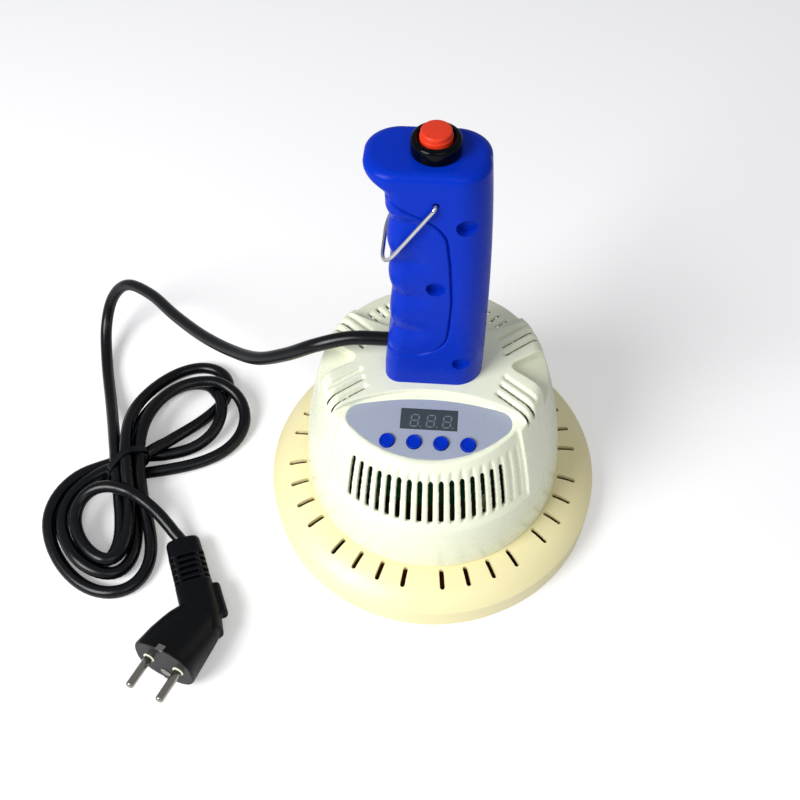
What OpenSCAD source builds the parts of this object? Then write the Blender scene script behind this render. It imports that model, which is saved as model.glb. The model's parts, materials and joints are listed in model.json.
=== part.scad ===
// Hand-held induction cap sealer: a round sealing head with a flat coil, a vented dome
// for the electronics, and an upright grip with a push switch, a hanging bail and a mains lead.
// Front (control panel) is -Y, the finger side of the grip is -X, up is +Z.
// The origin is the centre of the sealing face.

/* [Sealing head] */
// Radius of the round sealing head
head_r = 100; // [96:1:112]
// Height of the head up to the seat of the dome
head_h = 26.8; // [25:0.2:32]
// Wall of the moulded head cover
head_wall = 3; // [2.5:0.25:4]
// Slope of the rounded shoulder where it meets the rim, in degrees
shoulder_deg = 50; // [40:1:58]
// Thickness of the flat sealing face
face_t = 3; // [2:0.25:4]
// Width of a cooling slot in the head
head_slot_w = 2.8; // [2:0.1:3.6]
// Length of a cooling slot in the head
head_slot_l = 11.5; // [8:0.5:13]
// Thickness of the wound coil
coil_t = 5; // [3:0.5:6]

/* [Dome] */
// Radius of the dome at its foot
dome_r = 76; // [74:0.5:80]
// Height of the dome above the head
dome_h = 95.2; // [90:0.2:110]
// How far the dome wall leans in from foot to top
dome_lean = 16.7; // [13:0.1:18]
// Wall of the moulded dome
dome_wall = 2.5; // [2:0.1:3]
// Rounding of the dome's upper edge
dome_edge = 7; // [4:0.5:9]
// Width of a vent slot in the dome
vent_w = 2.6; // [2:0.1:3]
// How far the front and rear grilles are sunk into the wall
grille_sink = 1.7; // [1:0.1:2.2]

/* [Control panel] */
// Depth of the panel's middle below the top of the dome
panel_sink = 6; // [5:0.25:8]
// Slope of the panel towards the front, in degrees
panel_tilt = 8.5; // [5:0.5:11]
// Thickness of the panel sheet
panel_t = 0.8; // [0.5:0.1:1.2]
// Width of the display window
window_w = 29.8; // [26:0.2:32]
// Height of the display window
window_h = 11.9; // [10:0.1:13]
// Diameter of a key
key_d = 7.6; // [6:0.2:8.4]
// Distance between keys
key_pitch = 13.9; // [12:0.1:15]
// Travel of a key
key_travel = 0.5; // [0.3:0.1:0.6]

/* [Grip] */
// Height of the grip above the dome
grip_h = 141.8; // [136:0.2:155]
// Reach of the palm side from the axis
palm_reach = 26.4; // [25:0.2:30]
// Reach of the finger side at the pads
finger_reach = 20.8; // [20:0.2:24]
// Reach of the finger side at the foot
foot_reach = 25; // [24:0.2:28]
// Reach of the beak above the fingers
beak_reach = 30.3; // [28:0.2:34]
// Half the depth of the grip at its foot
foot_depth = 15; // [15:0.2:17]
// Half the depth of the grip at its top
top_depth = 17; // [16.6:0.2:19]
// Height of one finger pad
pad_pitch = 23.5; // [22:0.5:24.5]
// Depth of the crease between two finger pads
pad_crease = 1.3; // [0.6:0.1:1.8]
// Wall of the grip shells
shell_wall = 4; // [3.5:0.25:4.5]
// Diameter of a screw well in the grip
well_d = 9; // [8:0.25:9.6]

/* [Push switch] */
// Diameter of the switch bezel
bezel_d = 21.4; // [19:0.2:23]
// Height of the switch bezel
bezel_h = 7.2; // [6:0.2:9]
// Diameter of the push cap
cap_d = 13.8; // [12:0.2:14.4]
// Height of the push cap above the bezel
cap_rise = 3.2; // [2.8:0.1:5]
// Travel of the push cap
cap_travel = 2.5; // [1.5:0.1:2.7]

/* [Bail] */
// Diameter of the bail wire
wire_d = 1.8; // [1.4:0.1:2.2]
// Reach of the bail from its pivot
bail_reach = 45; // [43:0.5:50]
// Depth of the bail's pivot below the top of the grip
bail_drop = 15; // [13:0.5:17]
// Running clearance of the bail in its holes, on the radius
bail_fit = 0.05; // [0.02:0.01:0.1]

/* [Mains lead] */
// Diameter of the cord
cord_d = 7.2; // [6:0.2:7.6]
// Height of the cord's hole above the foot of the grip
cord_rise = 17; // [16:0.5:20]

/* [Hidden] */
$fn = 48;

cream = "#F3EBC0";
ivory = "#F4F4E4";
royal_blue = "#0A32C8";
black = "#15161A";
steel = "#B8BCC2";
board_green = "#1E6B3A";
copper = "#A8602C";

// Small gaps: loose fit round a screw, free gap between moving pieces, overlap of a cut
screw_fit = 0.1;
free_gap = 0.3;
cut = 0.5;

// Head
crown_r = dome_r + 1.2;
shoulder_run = head_r - crown_r;
shoulder_arc = shoulder_run / sin(shoulder_deg);
rim_h = head_h - shoulder_arc * (1 - cos(shoulder_deg));
rim_edge = 0.8;
shoulder_steps = 10;
slots_per_group = 4;
slot_groups = 8;
slot_step = 10;
wire_hole_r = 30;
spoke_angles = [for (k = [0:slot_groups - 1]) k * 360 / slot_groups];
face_boss_r = 3.4;
face_boss_at = head_r - head_wall - 3.2;
coil_r1 = face_boss_at - face_boss_r - 0.8;
coil_r0 = 28;
coil_turns = 15;
mica_t = 0.5;
coil_z = face_t + mica_t;
bar_w = 12;
bar_t = 5;
bar_inset = 6;
screw_r = 1.5;
screw_head_r = 3;
screw_head_t = 2.2;
face_screw_r = 1.25;
face_screw_l = 11;

// Dome
dome_z = head_h;
foot_z = dome_z + dome_h;
lean_power = 1.8;
wall_steps = 8;
edge_from = 17;
diagonals = [45, 135, 225, 315];
dome_boss_r = 4.5;
dome_boss_at = dome_r - dome_wall - dome_boss_r;
dome_boss_h = 18;
dome_screw_l = 15;
grille_slots = 20;
grille_step = 5;
grille_half = 51;
grille_low = dome_h * 0.44;
grille_high = dome_h * 0.775;
ledge_h = dome_h * 0.39;
ledge_rise = 4;
crest_h = dome_h * 0.81;
crest_in = 3.6;
crest_rise = 12;
arm_deg = 38.2;
arm_slots = [[-6.9, 37.8], [-12.4, 36], [-17.6, 34]];
arm_slot_depth = 8;
arm_blind_depth = 2;
arm_blind = [0, 2];
pocket_x = 41;
pocket_drop = 4.5;
pocket_slope = 19;
pocket_half = 35.8;
pocket_round = 3.5;
pocket_steps = 8;
rear_slots = 15;
rear_slot_step = 6.75;
rear_slot_r = [dome_r - 32.5, dome_r - 23.5];
far = 150;

// Panel: its own frame has X across, Y inwards along the slope, Z out of the face
panel_y = dome_r - 36;
panel_z = foot_z - panel_sink;
lip = 0.4;
facet_r = 95;
facet_top = 21.2;
lens_out_r = dome_r - 18.8;
lens_in_r = 150;
lens_top = 17.2;
lens_half = 44;
lens_tip_r = 7;
axis_v = panel_y / cos(panel_tilt);
window_v = 5.8;
window_ledge = 0.8;
sheet_fit = 0.1;
key_v = -7.5;
key_hole_r = key_d / 2 + free_gap;
key_flange_r = key_hole_r + 0.9;
key_flange_t = 1;
key_rise = 1.5;
key_stem_r = 1.7;
key_stem_l = 2.6;
facet_under = lip - dome_wall;
key_flange_top = facet_under - free_gap;
key_foot = key_flange_top - key_flange_t - key_stem_l;
tact_h = 3.5;
tact_w = 6;
tact_top = key_foot - key_travel - free_gap;
board_t = 1.6;
board_top = tact_top - tact_h;
control_half = 28;
control_v = [-11, 14];
control_posts = [[-24.5, 11], [24.5, 11], [-25, 0.5], [25, 0.5]];
control_post_r = 2.4;

// Electronics
board_z = head_h + 39;
board_r = 57;
board_post_r = 4;
board_post_at = 46;
board_face = board_z + board_t;
disc_t = 1.2;
disc_r = dome_boss_at - dome_boss_r - 1;
sink_size = [28, 40, 28];
sink_at = [22, -20];
sink_base = 5;
fins = 7;
fin_t = 1.6;
transistor_size = [5, 15, 20];
transistor_y = [-9.5, 9.5];
leg_pitch = 5;
leg_size = [1, 1.2, 2];
can_r = 9;
can_h = 24;
can_edge = 0.8;
can_at = [[-34, -16], [-34, 5]];
choke_r = 8.5;
choke_ring = 4.5;
choke_y = 30;
core_size = [32, 24, 22];
core_at = [-16, -41];
core_leg = 5;
core_window = [6.5, 12];
winding_over = 2.5;
winding_gap = 0.2;
board_screw_l = 10;
post_hole = 12;
fan_w = 40;
fan_t = 10;
fan_z = foot_z - 26;
fan_clear = 0.35;
fan_pitch = 16;
fan_bore = 18.5;
fan_hub = 9;
fan_base_t = 2;
fan_shaft_r = 1.5;
fan_fit = 0.05;
fan_post_r = 2.6;
fan_blades = 7;
fan_wall_r = dome_wall_r(fan_z + fan_t - dome_z) - grille_sink - dome_wall - fan_clear;
fan_y = sqrt(fan_wall_r * fan_wall_r - fan_w * fan_w / 4) - fan_w / 2;
fan_tip = 17.6;

// Grip
grip_top = foot_z + grip_h;
grip_edge = 4;
beak_h = 22.8;
station_step = pad_pitch / 6;
first_crease = 11 * station_step;
pads_end = first_crease + 3.4 * pad_pitch;
palm_lean = 3.3;
palm_mid = grip_h * 0.3;
palm_power = 2.6;
palm_round = 14;
finger_round = 8;
beak_round = 14;
arc_steps = 8;
split_over = 3;
edge_steps = 3;
floor_h = 12;
roof_h = grip_h - 5;
cavity_floor = foot_z + floor_h;
cavity_roof = foot_z + roof_h;
cavity_x0 = -(finger_reach - shell_wall - pad_crease);
cavity_x1 = palm_reach - palm_lean - shell_wall;
cavity_d = foot_depth - shell_wall + 0.5;
wells = [[14.2, grip_h - 27.7], [1.3, grip_h - 67.1], [14.7, 18.3]];
well_floor = 5;
boss_r = well_d / 2 + 1.2;
foot_screw_at = [15, 5];
foot_screw_l = 10;
seat = 0.02;
wire_r = 5;
groove_w = 0.9;
groove_depth = 0.7;
face_lean = atan((top_depth - foot_depth) / grip_h);
groove_discs = [[-26, grip_h - 28, 15], [-10, grip_h - 40, 17], [-9.5, 66, 19], [-10, 42, 18],
    [-26, 40, 15]];

// Switch
barrel_r = bezel_d / 2 - 2.7;
barrel_l = 24;
cap_r = cap_d / 2;
cap_cup_r = cap_r + free_gap;
cap_top = grip_top + bezel_h + cap_rise;
cap_under = grip_top + cap_travel + 0.4;
cap_edge = 0.7;
cap_stem_r = 4;
cap_stem_l = 9;
bezel_slope = 2.4;
nut_r = 10;
nut_t = 4;

// Bail, drawn hanging straight down and then turned to where it rests
bail_x = 1;
bail_z = grip_top - bail_drop;
bail_rest = 32.7;
bail_half = top_depth + wire_d / 2 + 0.7;
bail_round = 12;
bail_elbow = 2.2;
bail_pin_end = cavity_d - 0.6;

// Cord: routes run from the grip to the hank and from the hank to the plug
cord_z = foot_z + cord_rise;
cord_sides = 10;
anchor_x = cavity_x0;
lead_route = [[anchor_x, 0, cord_z], [-25, 0, cord_z], [-44, 0, 138], [-63, -1, 131.5], [-81, 3, 117],
    [-100.5, 11, 101.5], [-121.5, 27, 86.5], [-146, 47.5, 73.5], [-170.5, 70.5, 63.5], [-193, 92.5, 57],
    [-215, 107.5, 48.5], [-230, 108.5, 33.5], [-236.5, 96.5, 16], [-232.5, 72, 5], [-221, 40.5, 6],
    [-208.5, 10, 8], [-202, -6, 9]];
tail_route = [[-212, -29, 13], [-202, -30, 15.5], [-190, -33, 15.5], [-174, -41, 13.5], [-160.5, -50, 10.5],
    [-152, -57, 8], [-147.5, -63.5, 7]];
route_steps = 2;
hank_h = 21;
tie_at = [-197, -15];
hank_upper = [-158, 33];
hank_lower = [-199, -62];
hank_upper_r = 38;
hank_lower_r = 38;
hank_neck = 13;
hank_band = 15;
tie_w = 4;
tie_t = 1;
tie_deg = 38;

// Plug: its own frame has Z along the pins, Y across them and X away from the earth clip on top
plug_at = [-139.5, -140, 17.1];
plug_az = -109.6;
plug_el = 8.4;
pin_r = 2.4;
pin_l = 19;
pin_gap = 19;
pin_sunk = 6;
pin_fit = 0.05;
plug_r = 18.8;
plug_len = 33;
plug_round_l = 12.5;
plug_half_front = 17;
plug_half_back = 10.5;
neck_deg = 45;
neck_from = [4, -plug_len];
neck_l = 55;
neck_r0 = 11;
neck_r1 = 9.8;
neck_half = 6.6;
neck_root = 8;
neck_ribs = 5;
neck_rib_pitch = 4.2;
neck_plain = 13;
neck_groove = 2;
notch_deep = 1.2;
window_half = 4.2;
window_deep = 2;
wing_l = 20;
wing_back = 1;
wing_out = 3.2;
wing_half = 4.5;
clip_w = 6;
clip_t = 0.6;
clip_l = 15.9;

// Part of the way from a to b
function between(t, a, b) = a + (b - a) * t;

// Outer radius of the dome wall at a height above its foot
function dome_wall_r(h) = dome_r - dome_lean * pow(h / dome_h, lean_power);

// Half profile of the dome, moved inwards by t
function dome_profile(t) = let (
        edge = max(dome_edge - t, 1),
        h1 = dome_h - dome_edge * (1 - sin(edge_from)),
        r1 = dome_wall_r(h1) - t,
        centre = [r1 - edge * cos(edge_from), foot_z - t - edge])
    concat([[0, dome_z - (t > 0 ? far : 0)], [dome_r - t, dome_z - (t > 0 ? far : 0)]],
        [for (i = [0:wall_steps]) let (h = h1 * i / wall_steps) [dome_wall_r(h) - t, dome_z + h]],
        [for (a = [edge_from + 10:10:90]) centre + edge * [cos(a), sin(a)]],
        [[0, foot_z - t]]);

// Sunk wall of a grille, moved inwards by t, and closed far outside
function grille_profile(t) = let (s = grille_sink + t)
    concat([[far, dome_z + ledge_h - t], [dome_wall_r(ledge_h) - t, dome_z + ledge_h - t]],
        [for (i = [0:4]) let (h = between(i / 4, ledge_h + ledge_rise, crest_h)) [dome_wall_r(h) - s,
            dome_z + h]],
        [[dome_wall_r(crest_h) - s - crest_in, dome_z + crest_h + crest_rise],
            [dome_wall_r(crest_h) - s - 2 * crest_in, foot_z + cut],
        [far, foot_z + cut]]);

// Grip: reach of the palm side, the finger side and the half depth at a height above its foot
function palm_x(h) = palm_reach - palm_lean * pow(abs(h - palm_mid) / (grip_h - palm_mid), palm_power);
function pad_dip(h) = h < first_crease - pad_pitch || h > pads_end ? 0
    : pad_crease * (1 - abs(sin(180 * (h - first_crease) / pad_pitch)));
function finger_x(h) = pad_dip(h) - lookup(h, [[0, foot_reach], [10, foot_reach - 0.4],
    [36, finger_reach + 1.2],
    [56, finger_reach], [grip_h - beak_h, finger_reach], [grip_h - beak_h + 6, finger_reach + 3.6],
    [grip_h - grip_edge, beak_reach]]);
function grip_depth(h) = between(h / grip_h, foot_depth, top_depth);
function finger_corner(h) = lookup(h, [[grip_h - beak_h, finger_round], [grip_h - grip_edge, beak_round]]);

// Outline of the front half of the grip at a height, moved inwards by e
function grip_section(h, e) = let (
        xr = palm_x(h) - e,
        xl = finger_x(h) + e,
        d = grip_depth(h) - e,
        rr = min(palm_round, d - 0.5),
        rl = min(finger_corner(h), d - 0.5))
    concat([[xr, 0]],
        [for (i = [0:arc_steps])
            let (a = 90 * i / arc_steps) [xr - rr + rr * cos(a), rr - d - rr * sin(a)]],
        [for (i = [0:arc_steps])
            let (a = 90 + 90 * i / arc_steps) [xl + rl + rl * cos(a), rl - d - rl * sin(a)]],
        [[xl, 0]]);

// Heights of the grip's sections, with how far each is drawn in at the top edge
body_h = grip_h - grip_edge;
grip_stations = concat([for (h = [0:station_step:body_h - 1]) [h, 0]], [[body_h, 0]],
    [for (i = [1:edge_steps])
        let (a = 90 * i / edge_steps) [body_h + grip_edge * sin(a), grip_edge * (1 - cos(a))]]);

// Smooth curve through the points of a route
function spline(p, i, t) = let (
        a = p[max(i - 1, 0)], b = p[i], c = p[i + 1], d = p[min(i + 2, len(p) - 1)])
    0.5 * (2 * b + (c - a) * t + (2 * a - 5 * b + 4 * c - d) * t * t + (3 * b - a - 3 * c + d) * t * t * t);
function route_points(p) = concat(
    [for (i = [0:len(p) - 2])
        for (k = [0:route_steps - 1]) spline(p, i, k / route_steps)], [p[len(p) - 1]]);
function unit(v) = v / norm(v);

// Closed solid through rings of equally many points
module loft(rings) {
    m = len(rings[0]);
    n = len(rings);
    polyhedron(points = [for (ring = rings) each ring], faces = concat(
        [[for (j = [0:m - 1]) j]],
        [for (i = [0:n - 2]) for (j = [0:m - 1]) let (k = (j + 1) % m)
            each [[i * m + j, (i + 1) * m + j, (i + 1) * m + k], [i * m + j, (i + 1) * m + k, i * m + k]]],
        [[for (j = [m - 1:-1:0]) (n - 1) * m + j]]));
}

module tube(route) {
    p = route_points(route);
    last = len(p) - 1;
    loft([for (i = [0:last]) let (
            ahead = unit(p[min(i + 1, last)] - p[max(i - 1, 0)]),
            side = unit(cross([0, 0, 1], ahead)),
            up = cross(ahead, side))
        [for (k = [0:cord_sides - 1]) let (a = 360 * k / cord_sides)
            p[i] + cord_d / 2 * (side * cos(a) - up * sin(a))]]);
}

module at_angles(angles, r) {
    for (a = angles) rotate(a) translate([r, 0, 0]) children();
}

module slot_outline(l, w) {
    translate([0, -w / 2]) square([l, w]);
    circle(d = w);
    translate([l, 0]) circle(d = w);
}

module ring(r0, r1, h) {
    difference() {
        cylinder(r = r1, h = h);
        translate([0, 0, -cut]) cylinder(r = r0, h = h + 2 * cut);
    }
}

// Pan-head screw pointing up, its head's seat at z = 0
module pan_screw(l) {
    translate([0, 0, -screw_head_t]) cylinder(r = screw_head_r, h = screw_head_t);
    translate([0, 0, -cut]) cylinder(r = screw_r, h = l + cut);
}

// Sealing head

module sealing_face() {
    color(cream) difference() {
        cylinder(r = head_r - head_wall - free_gap, h = face_t, $fn = 96);
        at_angles(spoke_angles, face_boss_at) {
            translate([0, 0, -cut]) cylinder(r = face_screw_r + screw_fit, h = face_t + 2 * cut);
            translate([0, 0, -0.01])
                cylinder(r1 = 2 * face_screw_r + screw_fit, r2 = face_screw_r,
                h = face_screw_r + screw_fit);
        }
    }
}

module face_screws() {
    color(steel) at_angles(spoke_angles, face_boss_at) {
        cylinder(r1 = 2 * face_screw_r, r2 = face_screw_r, h = face_screw_r);
        cylinder(r = face_screw_r, h = face_screw_l);
    }
}

module head_cover() {
    inner_arc = shoulder_arc - head_wall;
    inner_deg = asin((shoulder_run - head_wall) / inner_arc);
    centre = [crown_r, head_h - shoulder_arc];
    steps = [for (i = [0:shoulder_steps]) i / shoulder_steps];
    color(cream) difference() {
        union() {
            rotate_extrude($fn = 96) polygon(concat(
                [[head_r - head_wall, 0], [head_r - rim_edge, 0], [head_r, rim_edge]],
                [for (s = steps) let (a = shoulder_deg * (1 - s)) centre + shoulder_arc * [sin(a), cos(a)]],
                [[wire_hole_r, head_h], [wire_hole_r, head_h - head_wall]],
                [for (s = steps) let (a = inner_deg * s) centre + inner_arc * [sin(a), cos(a)]]));
            intersection() {
                at_angles(spoke_angles, face_boss_at)
                    translate([0, 0, face_t]) cylinder(r = face_boss_r, h = head_h - face_t);
                translate([0, 0, face_t])
                    cylinder(r1 = head_r + inner_arc, r2 = crown_r - head_wall + 8, h = head_h - face_t);
                cylinder(r = head_r - head_wall / 2, h = rim_h);
            }
            at_angles(diagonals, board_post_at)
                translate([0, 0, head_h - cut]) cylinder(r = board_post_r, h = board_z - head_h + cut);
        }
        for (g = [0:slot_groups - 1]) for (k = [0:slots_per_group - 1])
            rotate((g + 0.5) * 360 / slot_groups + (k - (slots_per_group - 1) / 2) * slot_step)
                translate([crown_r + head_slot_w / 2, 0, rim_h - head_wall - 2])
                    linear_extrude(head_h) slot_outline(head_slot_l - head_slot_w, head_slot_w);
        at_angles(spoke_angles, face_boss_at)
            translate([0, 0, -cut]) cylinder(r = face_screw_r + screw_fit, h = face_screw_l + 2 * cut);
        at_angles(diagonals, dome_boss_at)
            translate([0, 0, head_h - head_wall - cut])
                cylinder(r = screw_r + screw_fit, h = head_wall + 2 * cut);
        at_angles(diagonals, board_post_at)
            translate([0, 0, board_z - post_hole]) cylinder(r = screw_r + screw_fit, h = post_hole + cut);
    }
}

module mica_sheet() {
    color("#8A6A3C") translate([0, 0, face_t]) ring(coil_r0 - 3, coil_r1, mica_t);
}

// Flat winding: one solid with a ridge for each turn
module induction_coil() {
    pitch = (coil_r1 - coil_r0) / coil_turns;
    ridge = [[0.98, 0.7], [0.8, 1], [0.2, 1], [0, 0.7]];
    color(copper) translate([0, 0, coil_z]) rotate_extrude($fn = 96) polygon(concat(
        [[coil_r1, 0]],
        [for (k = [coil_turns - 1:-1:0]) for (p = ridge) [coil_r0 + (k + p[0]) * pitch, coil_t * p[1]]],
        [[coil_r0, 0]]));
}

module ferrite_bars() {
    color("#3A3C40") at_angles(spoke_angles, coil_r0 + bar_inset)
        translate([0, -bar_w / 2, coil_z + coil_t]) cube([coil_r1 - coil_r0 - bar_inset - 1, bar_w, bar_t]);
}

// Dome

module panel_frame() {
    translate([0, -panel_y, panel_z]) rotate([panel_tilt, 0, 0]) children();
}

// Wedge with a round point, open outwards
module pocket_outline(grow) {
    r = pocket_round + grow;
    cx = pocket_x + pocket_round;
    turn = 180 - 2 * pocket_half;
    run = far - cx;
    wide = r * cos(pocket_half) + (run + r * sin(pocket_half)) * tan(pocket_half);
    polygon(concat([for (i = [0:pocket_steps]) let (a = 90 + pocket_half + turn * i / pocket_steps)
        [cx + r * cos(a), r * sin(a)]], [[far, -wide], [far, wide]]));
}

// Outer form of the dome, or with every face moved inwards by t
module dome_form(t) {
    grow = t / dome_r * 180 / PI;
    difference() {
        rotate_extrude($fn = 96) polygon(dome_profile(t));
        for (side = [0, 1]) mirror([0, side, 0]) {
            panel_frame() translate([0, facet_top - facet_r, lip - t])
                cylinder(r = facet_r + t, h = far, $fn = 96);
            rotate(-90 - grille_half - grow) rotate_extrude(angle = 2 * (grille_half + grow), $fn = 96)
                polygon(grille_profile(t));
        }
        for (side = [0, 1]) mirror([side, 0, 0])
            translate([pocket_x, 0, foot_z - pocket_drop - t]) rotate([0, pocket_slope, 0])
                translate([-pocket_x, 0, 0]) linear_extrude(far) pocket_outline(t);
    }
}

// Outline of the panel: a low arc at the front, a flatter one at the back and round tips
module lens_outline(grow) {
    offset(r = lens_tip_r + grow, $fn = 64) offset(delta = -lens_tip_r) intersection() {
        translate([0, axis_v]) circle(r = lens_out_r, $fn = 96);
        translate([0, lens_top - lens_in_r]) circle(r = lens_in_r, $fn = 192);
        square([2 * lens_half, far], center = true);
    }
}

module at_keys() {
    for (k = [0:3]) translate([(k - 1.5) * key_pitch, key_v, 0]) children();
}

// One slot along an arm: its outer part runs over the edge, and a blind one has a floor
module arm_slot(place, depth) {
    rotate(arm_deg) translate([place[1], place[0] - vent_w / 2, foot_z - depth]) cube([far, vent_w, far]);
}

module dome_slots() {
    for (side = [0, 1]) mirror([0, side, 0]) {
        for (k = [0:grille_slots - 1])
            rotate(-90 + (k - (grille_slots - 1) / 2) * grille_step)
                translate([dome_r / 2, -vent_w / 2, dome_z + grille_low])
                    cube([dome_r, vent_w, grille_high - grille_low]);
        for (turn = [0, 1]) mirror([turn, 0, 0]) for (k = [0:len(arm_slots) - 1])
            arm_slot(arm_slots[k], k == arm_blind[side] ? arm_blind_depth : arm_slot_depth);
    }
    for (k = [0:rear_slots - 1])
        rotate(90 + (k - (rear_slots - 1) / 2) * rear_slot_step)
            translate([rear_slot_r[0], -vent_w / 2, fan_z + fan_t + 1])
                cube([rear_slot_r[1] - rear_slot_r[0], vent_w, far]);
}

module at_fan_corners() {
    for (x = [-1, 1]) for (y = [-1, 1]) translate([x * fan_pitch, fan_y + y * fan_pitch, 0]) children();
}

module dome_housing() {
    color(ivory) difference() {
        union() {
            difference() {
                dome_form(0);
                dome_form(dome_wall);
                dome_slots();
            }
            intersection() {
                dome_form(dome_wall / 2);
                union() {
                    at_angles(diagonals, dome_boss_at)
                        translate([0, 0, dome_z]) cylinder(r = dome_boss_r, h = dome_boss_h);
                    at_fan_corners() translate([0, 0, fan_z + fan_t]) cylinder(r = fan_post_r, h = far);
                    panel_frame() for (p = control_posts)
                        translate([p[0], p[1], board_top])
                            cylinder(r = control_post_r, h = facet_under - board_top + 1);
                }
            }
        }
        panel_frame() {
            translate([0, 0, -panel_t]) linear_extrude(far) lens_outline(sheet_fit);
            translate([-window_w / 2 + window_ledge, window_v - window_h / 2 + window_ledge, -far / 4])
                cube([window_w - 2 * window_ledge, window_h - 2 * window_ledge, far / 2]);
            at_keys() translate([0, 0, facet_under - 1]) cylinder(r = key_hole_r, h = far);
            for (p = control_posts) translate([p[0], p[1], board_top - cut])
                cylinder(r = 1 + screw_fit, h = 5 + cut);
        }
        at_angles(diagonals, dome_boss_at)
            translate([0, 0, dome_z - cut]) cylinder(r = screw_r + screw_fit, h = dome_screw_l + cut);
        at_fan_corners() translate([0, 0, fan_z + fan_t - cut])
            cylinder(r = screw_r + screw_fit, h = 5 + cut);
        for (x = [-1, 1]) for (y = [-1, 1])
            translate([x * foot_screw_at[0], y * foot_screw_at[1], foot_z - 2 * dome_wall])
            cylinder(r = screw_r + screw_fit, h = 4 * dome_wall);
        translate([0, 0, foot_z - 2 * dome_wall]) cylinder(r = wire_r, h = 4 * dome_wall);
    }
}

module dome_screws() {
    color(steel) at_angles(diagonals, dome_boss_at)
        translate([0, 0, head_h - head_wall]) pan_screw(head_wall + dome_screw_l - 2);
}

// Electronics

module insulating_disc() {
    color("#5A3A22") translate([0, 0, head_h]) difference() {
        ring(wire_hole_r, disc_r, disc_t);
        at_angles(diagonals, board_post_at) translate([0, 0, -cut])
            cylinder(r = board_post_r + free_gap, h = disc_t + 2 * cut);
    }
}

module power_board() {
    color(board_green) translate([0, 0, board_z]) difference() {
        cylinder(r = board_r, h = board_t);
        at_angles(diagonals, board_post_at) translate([0, 0, -cut])
            cylinder(r = screw_r + screw_fit, h = board_t + 2 * cut);
        translate([0, 0, -cut]) cylinder(r = wire_r, h = board_t + 2 * cut);
    }
}

module board_screws() {
    color(steel) {
        at_angles(diagonals, board_post_at) translate([0, 0, board_face]) mirror([0, 0, 1])
            pan_screw(board_screw_l);
        panel_frame() for (p = control_posts) translate([p[0], p[1], board_top - board_t]) {
            translate([0, 0, -1.2]) cylinder(r = 1.9, h = 1.2);
            cylinder(r = 1, h = board_t + 4.5);
        }
    }
}

module heat_sink() {
    gap = (sink_size[0] - fin_t) / (fins - 1);
    color("#9DA3A8") translate([sink_at[0], sink_at[1], board_face]) {
        cube([sink_size[0], sink_size[1], sink_base]);
        for (k = [0:fins - 1]) translate([k * gap, 0, 0]) cube([fin_t, sink_size[1], sink_size[2]]);
    }
}

module power_transistors() {
    color(black) for (y = transistor_y)
        translate([sink_at[0] - transistor_size[0], y - transistor_size[1] / 2, board_face + leg_size[2]])
            cube(transistor_size);
    color(steel) for (y = transistor_y) for (k = [-1, 0, 1])
        translate([sink_at[0] - (transistor_size[0] + leg_size[0]) / 2, y + leg_pitch * k - leg_size[1] / 2,
            board_face]) cube(leg_size);
}

module bus_capacitors() {
    color("#2A2F6A") for (p = can_at) translate([p[0], p[1], board_face]) {
        cylinder(r = can_r, h = can_h);
        translate([0, 0, can_h]) cylinder(r1 = can_r, r2 = can_r - can_edge, h = can_edge);
    }
}

module filter_choke() {
    color(copper) translate([0, choke_y, board_face]) rotate_extrude()
        translate([choke_r, choke_ring + 0.5]) union() {
        circle(r = choke_ring);
        translate([-choke_ring / 2, -choke_ring - 0.5]) square([choke_ring, 2]);
    }
}

// Core with two windows, and a winding on its middle leg
module output_transformer() {
    windows = [core_leg, core_size[0] - core_leg - core_window[0]];
    middle = [core_leg + core_window[0], core_size[0] - 2 * (core_leg + core_window[0])];
    color("#34363A") translate([core_at[0], core_at[1], board_face]) difference() {
        cube(core_size);
        for (x = windows) translate([x, -cut, core_leg])
            cube([core_window[0], core_size[1] + 2 * cut, core_window[1]]);
    }
    color(copper) translate([core_at[0], core_at[1] - winding_over, board_face + core_leg]) difference() {
        translate([core_leg + winding_gap, 0, winding_gap])
            cube([core_size[0] - 2 * (core_leg + winding_gap), core_size[1] + 2 * winding_over,
                core_window[1] - 2 * winding_gap]);
        translate([middle[0] - winding_gap, -cut, -cut])
            cube([middle[1] + 2 * winding_gap, core_size[1] + 2 * winding_over + 2 * cut,
                core_window[1] + 2 * cut]);
    }
}

module fan_frame() {
    color("#24262A") translate([0, fan_y, fan_z]) {
        difference() {
            translate([-fan_w / 2, -fan_w / 2, 0]) cube([fan_w, fan_w, fan_t]);
            translate([0, 0, -cut]) cylinder(r = fan_bore, h = fan_t + 2 * cut);
            for (x = [-1, 1]) for (y = [-1, 1]) translate([x * fan_pitch, y * fan_pitch, -cut])
                cylinder(r = screw_r + screw_fit, h = fan_t + 2 * cut);
        }
        for (a = [30, 150, 270]) rotate(a) translate([fan_hub - 1, -1.5, 0])
            cube([fan_bore - fan_hub + 2, 3, fan_base_t]);
        cylinder(r = fan_hub, h = fan_base_t);
        cylinder(r = fan_shaft_r, h = fan_t - 1.5);
    }
}

module fan_rotor() {
    low = fan_base_t + free_gap;
    color("#303338") translate([0, fan_y, fan_z]) difference() {
        union() {
            translate([0, 0, low]) cylinder(r = fan_hub, h = fan_t - low - 0.4);
            for (k = [0:fan_blades - 1]) rotate(k * 360 / fan_blades)
                translate([fan_hub - 1, 0, (fan_t + low - 0.4) / 2]) rotate([36, 0, 0])
                    translate([0, -4.2, -0.6]) cube([fan_tip - fan_hub + 0.6, 8.4, 1.2]);
        }
        translate([0, 0, -cut]) cylinder(r = fan_shaft_r + fan_fit, h = fan_t - 1.5 + free_gap + cut);
    }
}

module fan_screws() {
    color(steel) at_fan_corners() translate([0, 0, fan_z]) pan_screw(fan_t + 4.5);
}

// Control panel

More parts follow.
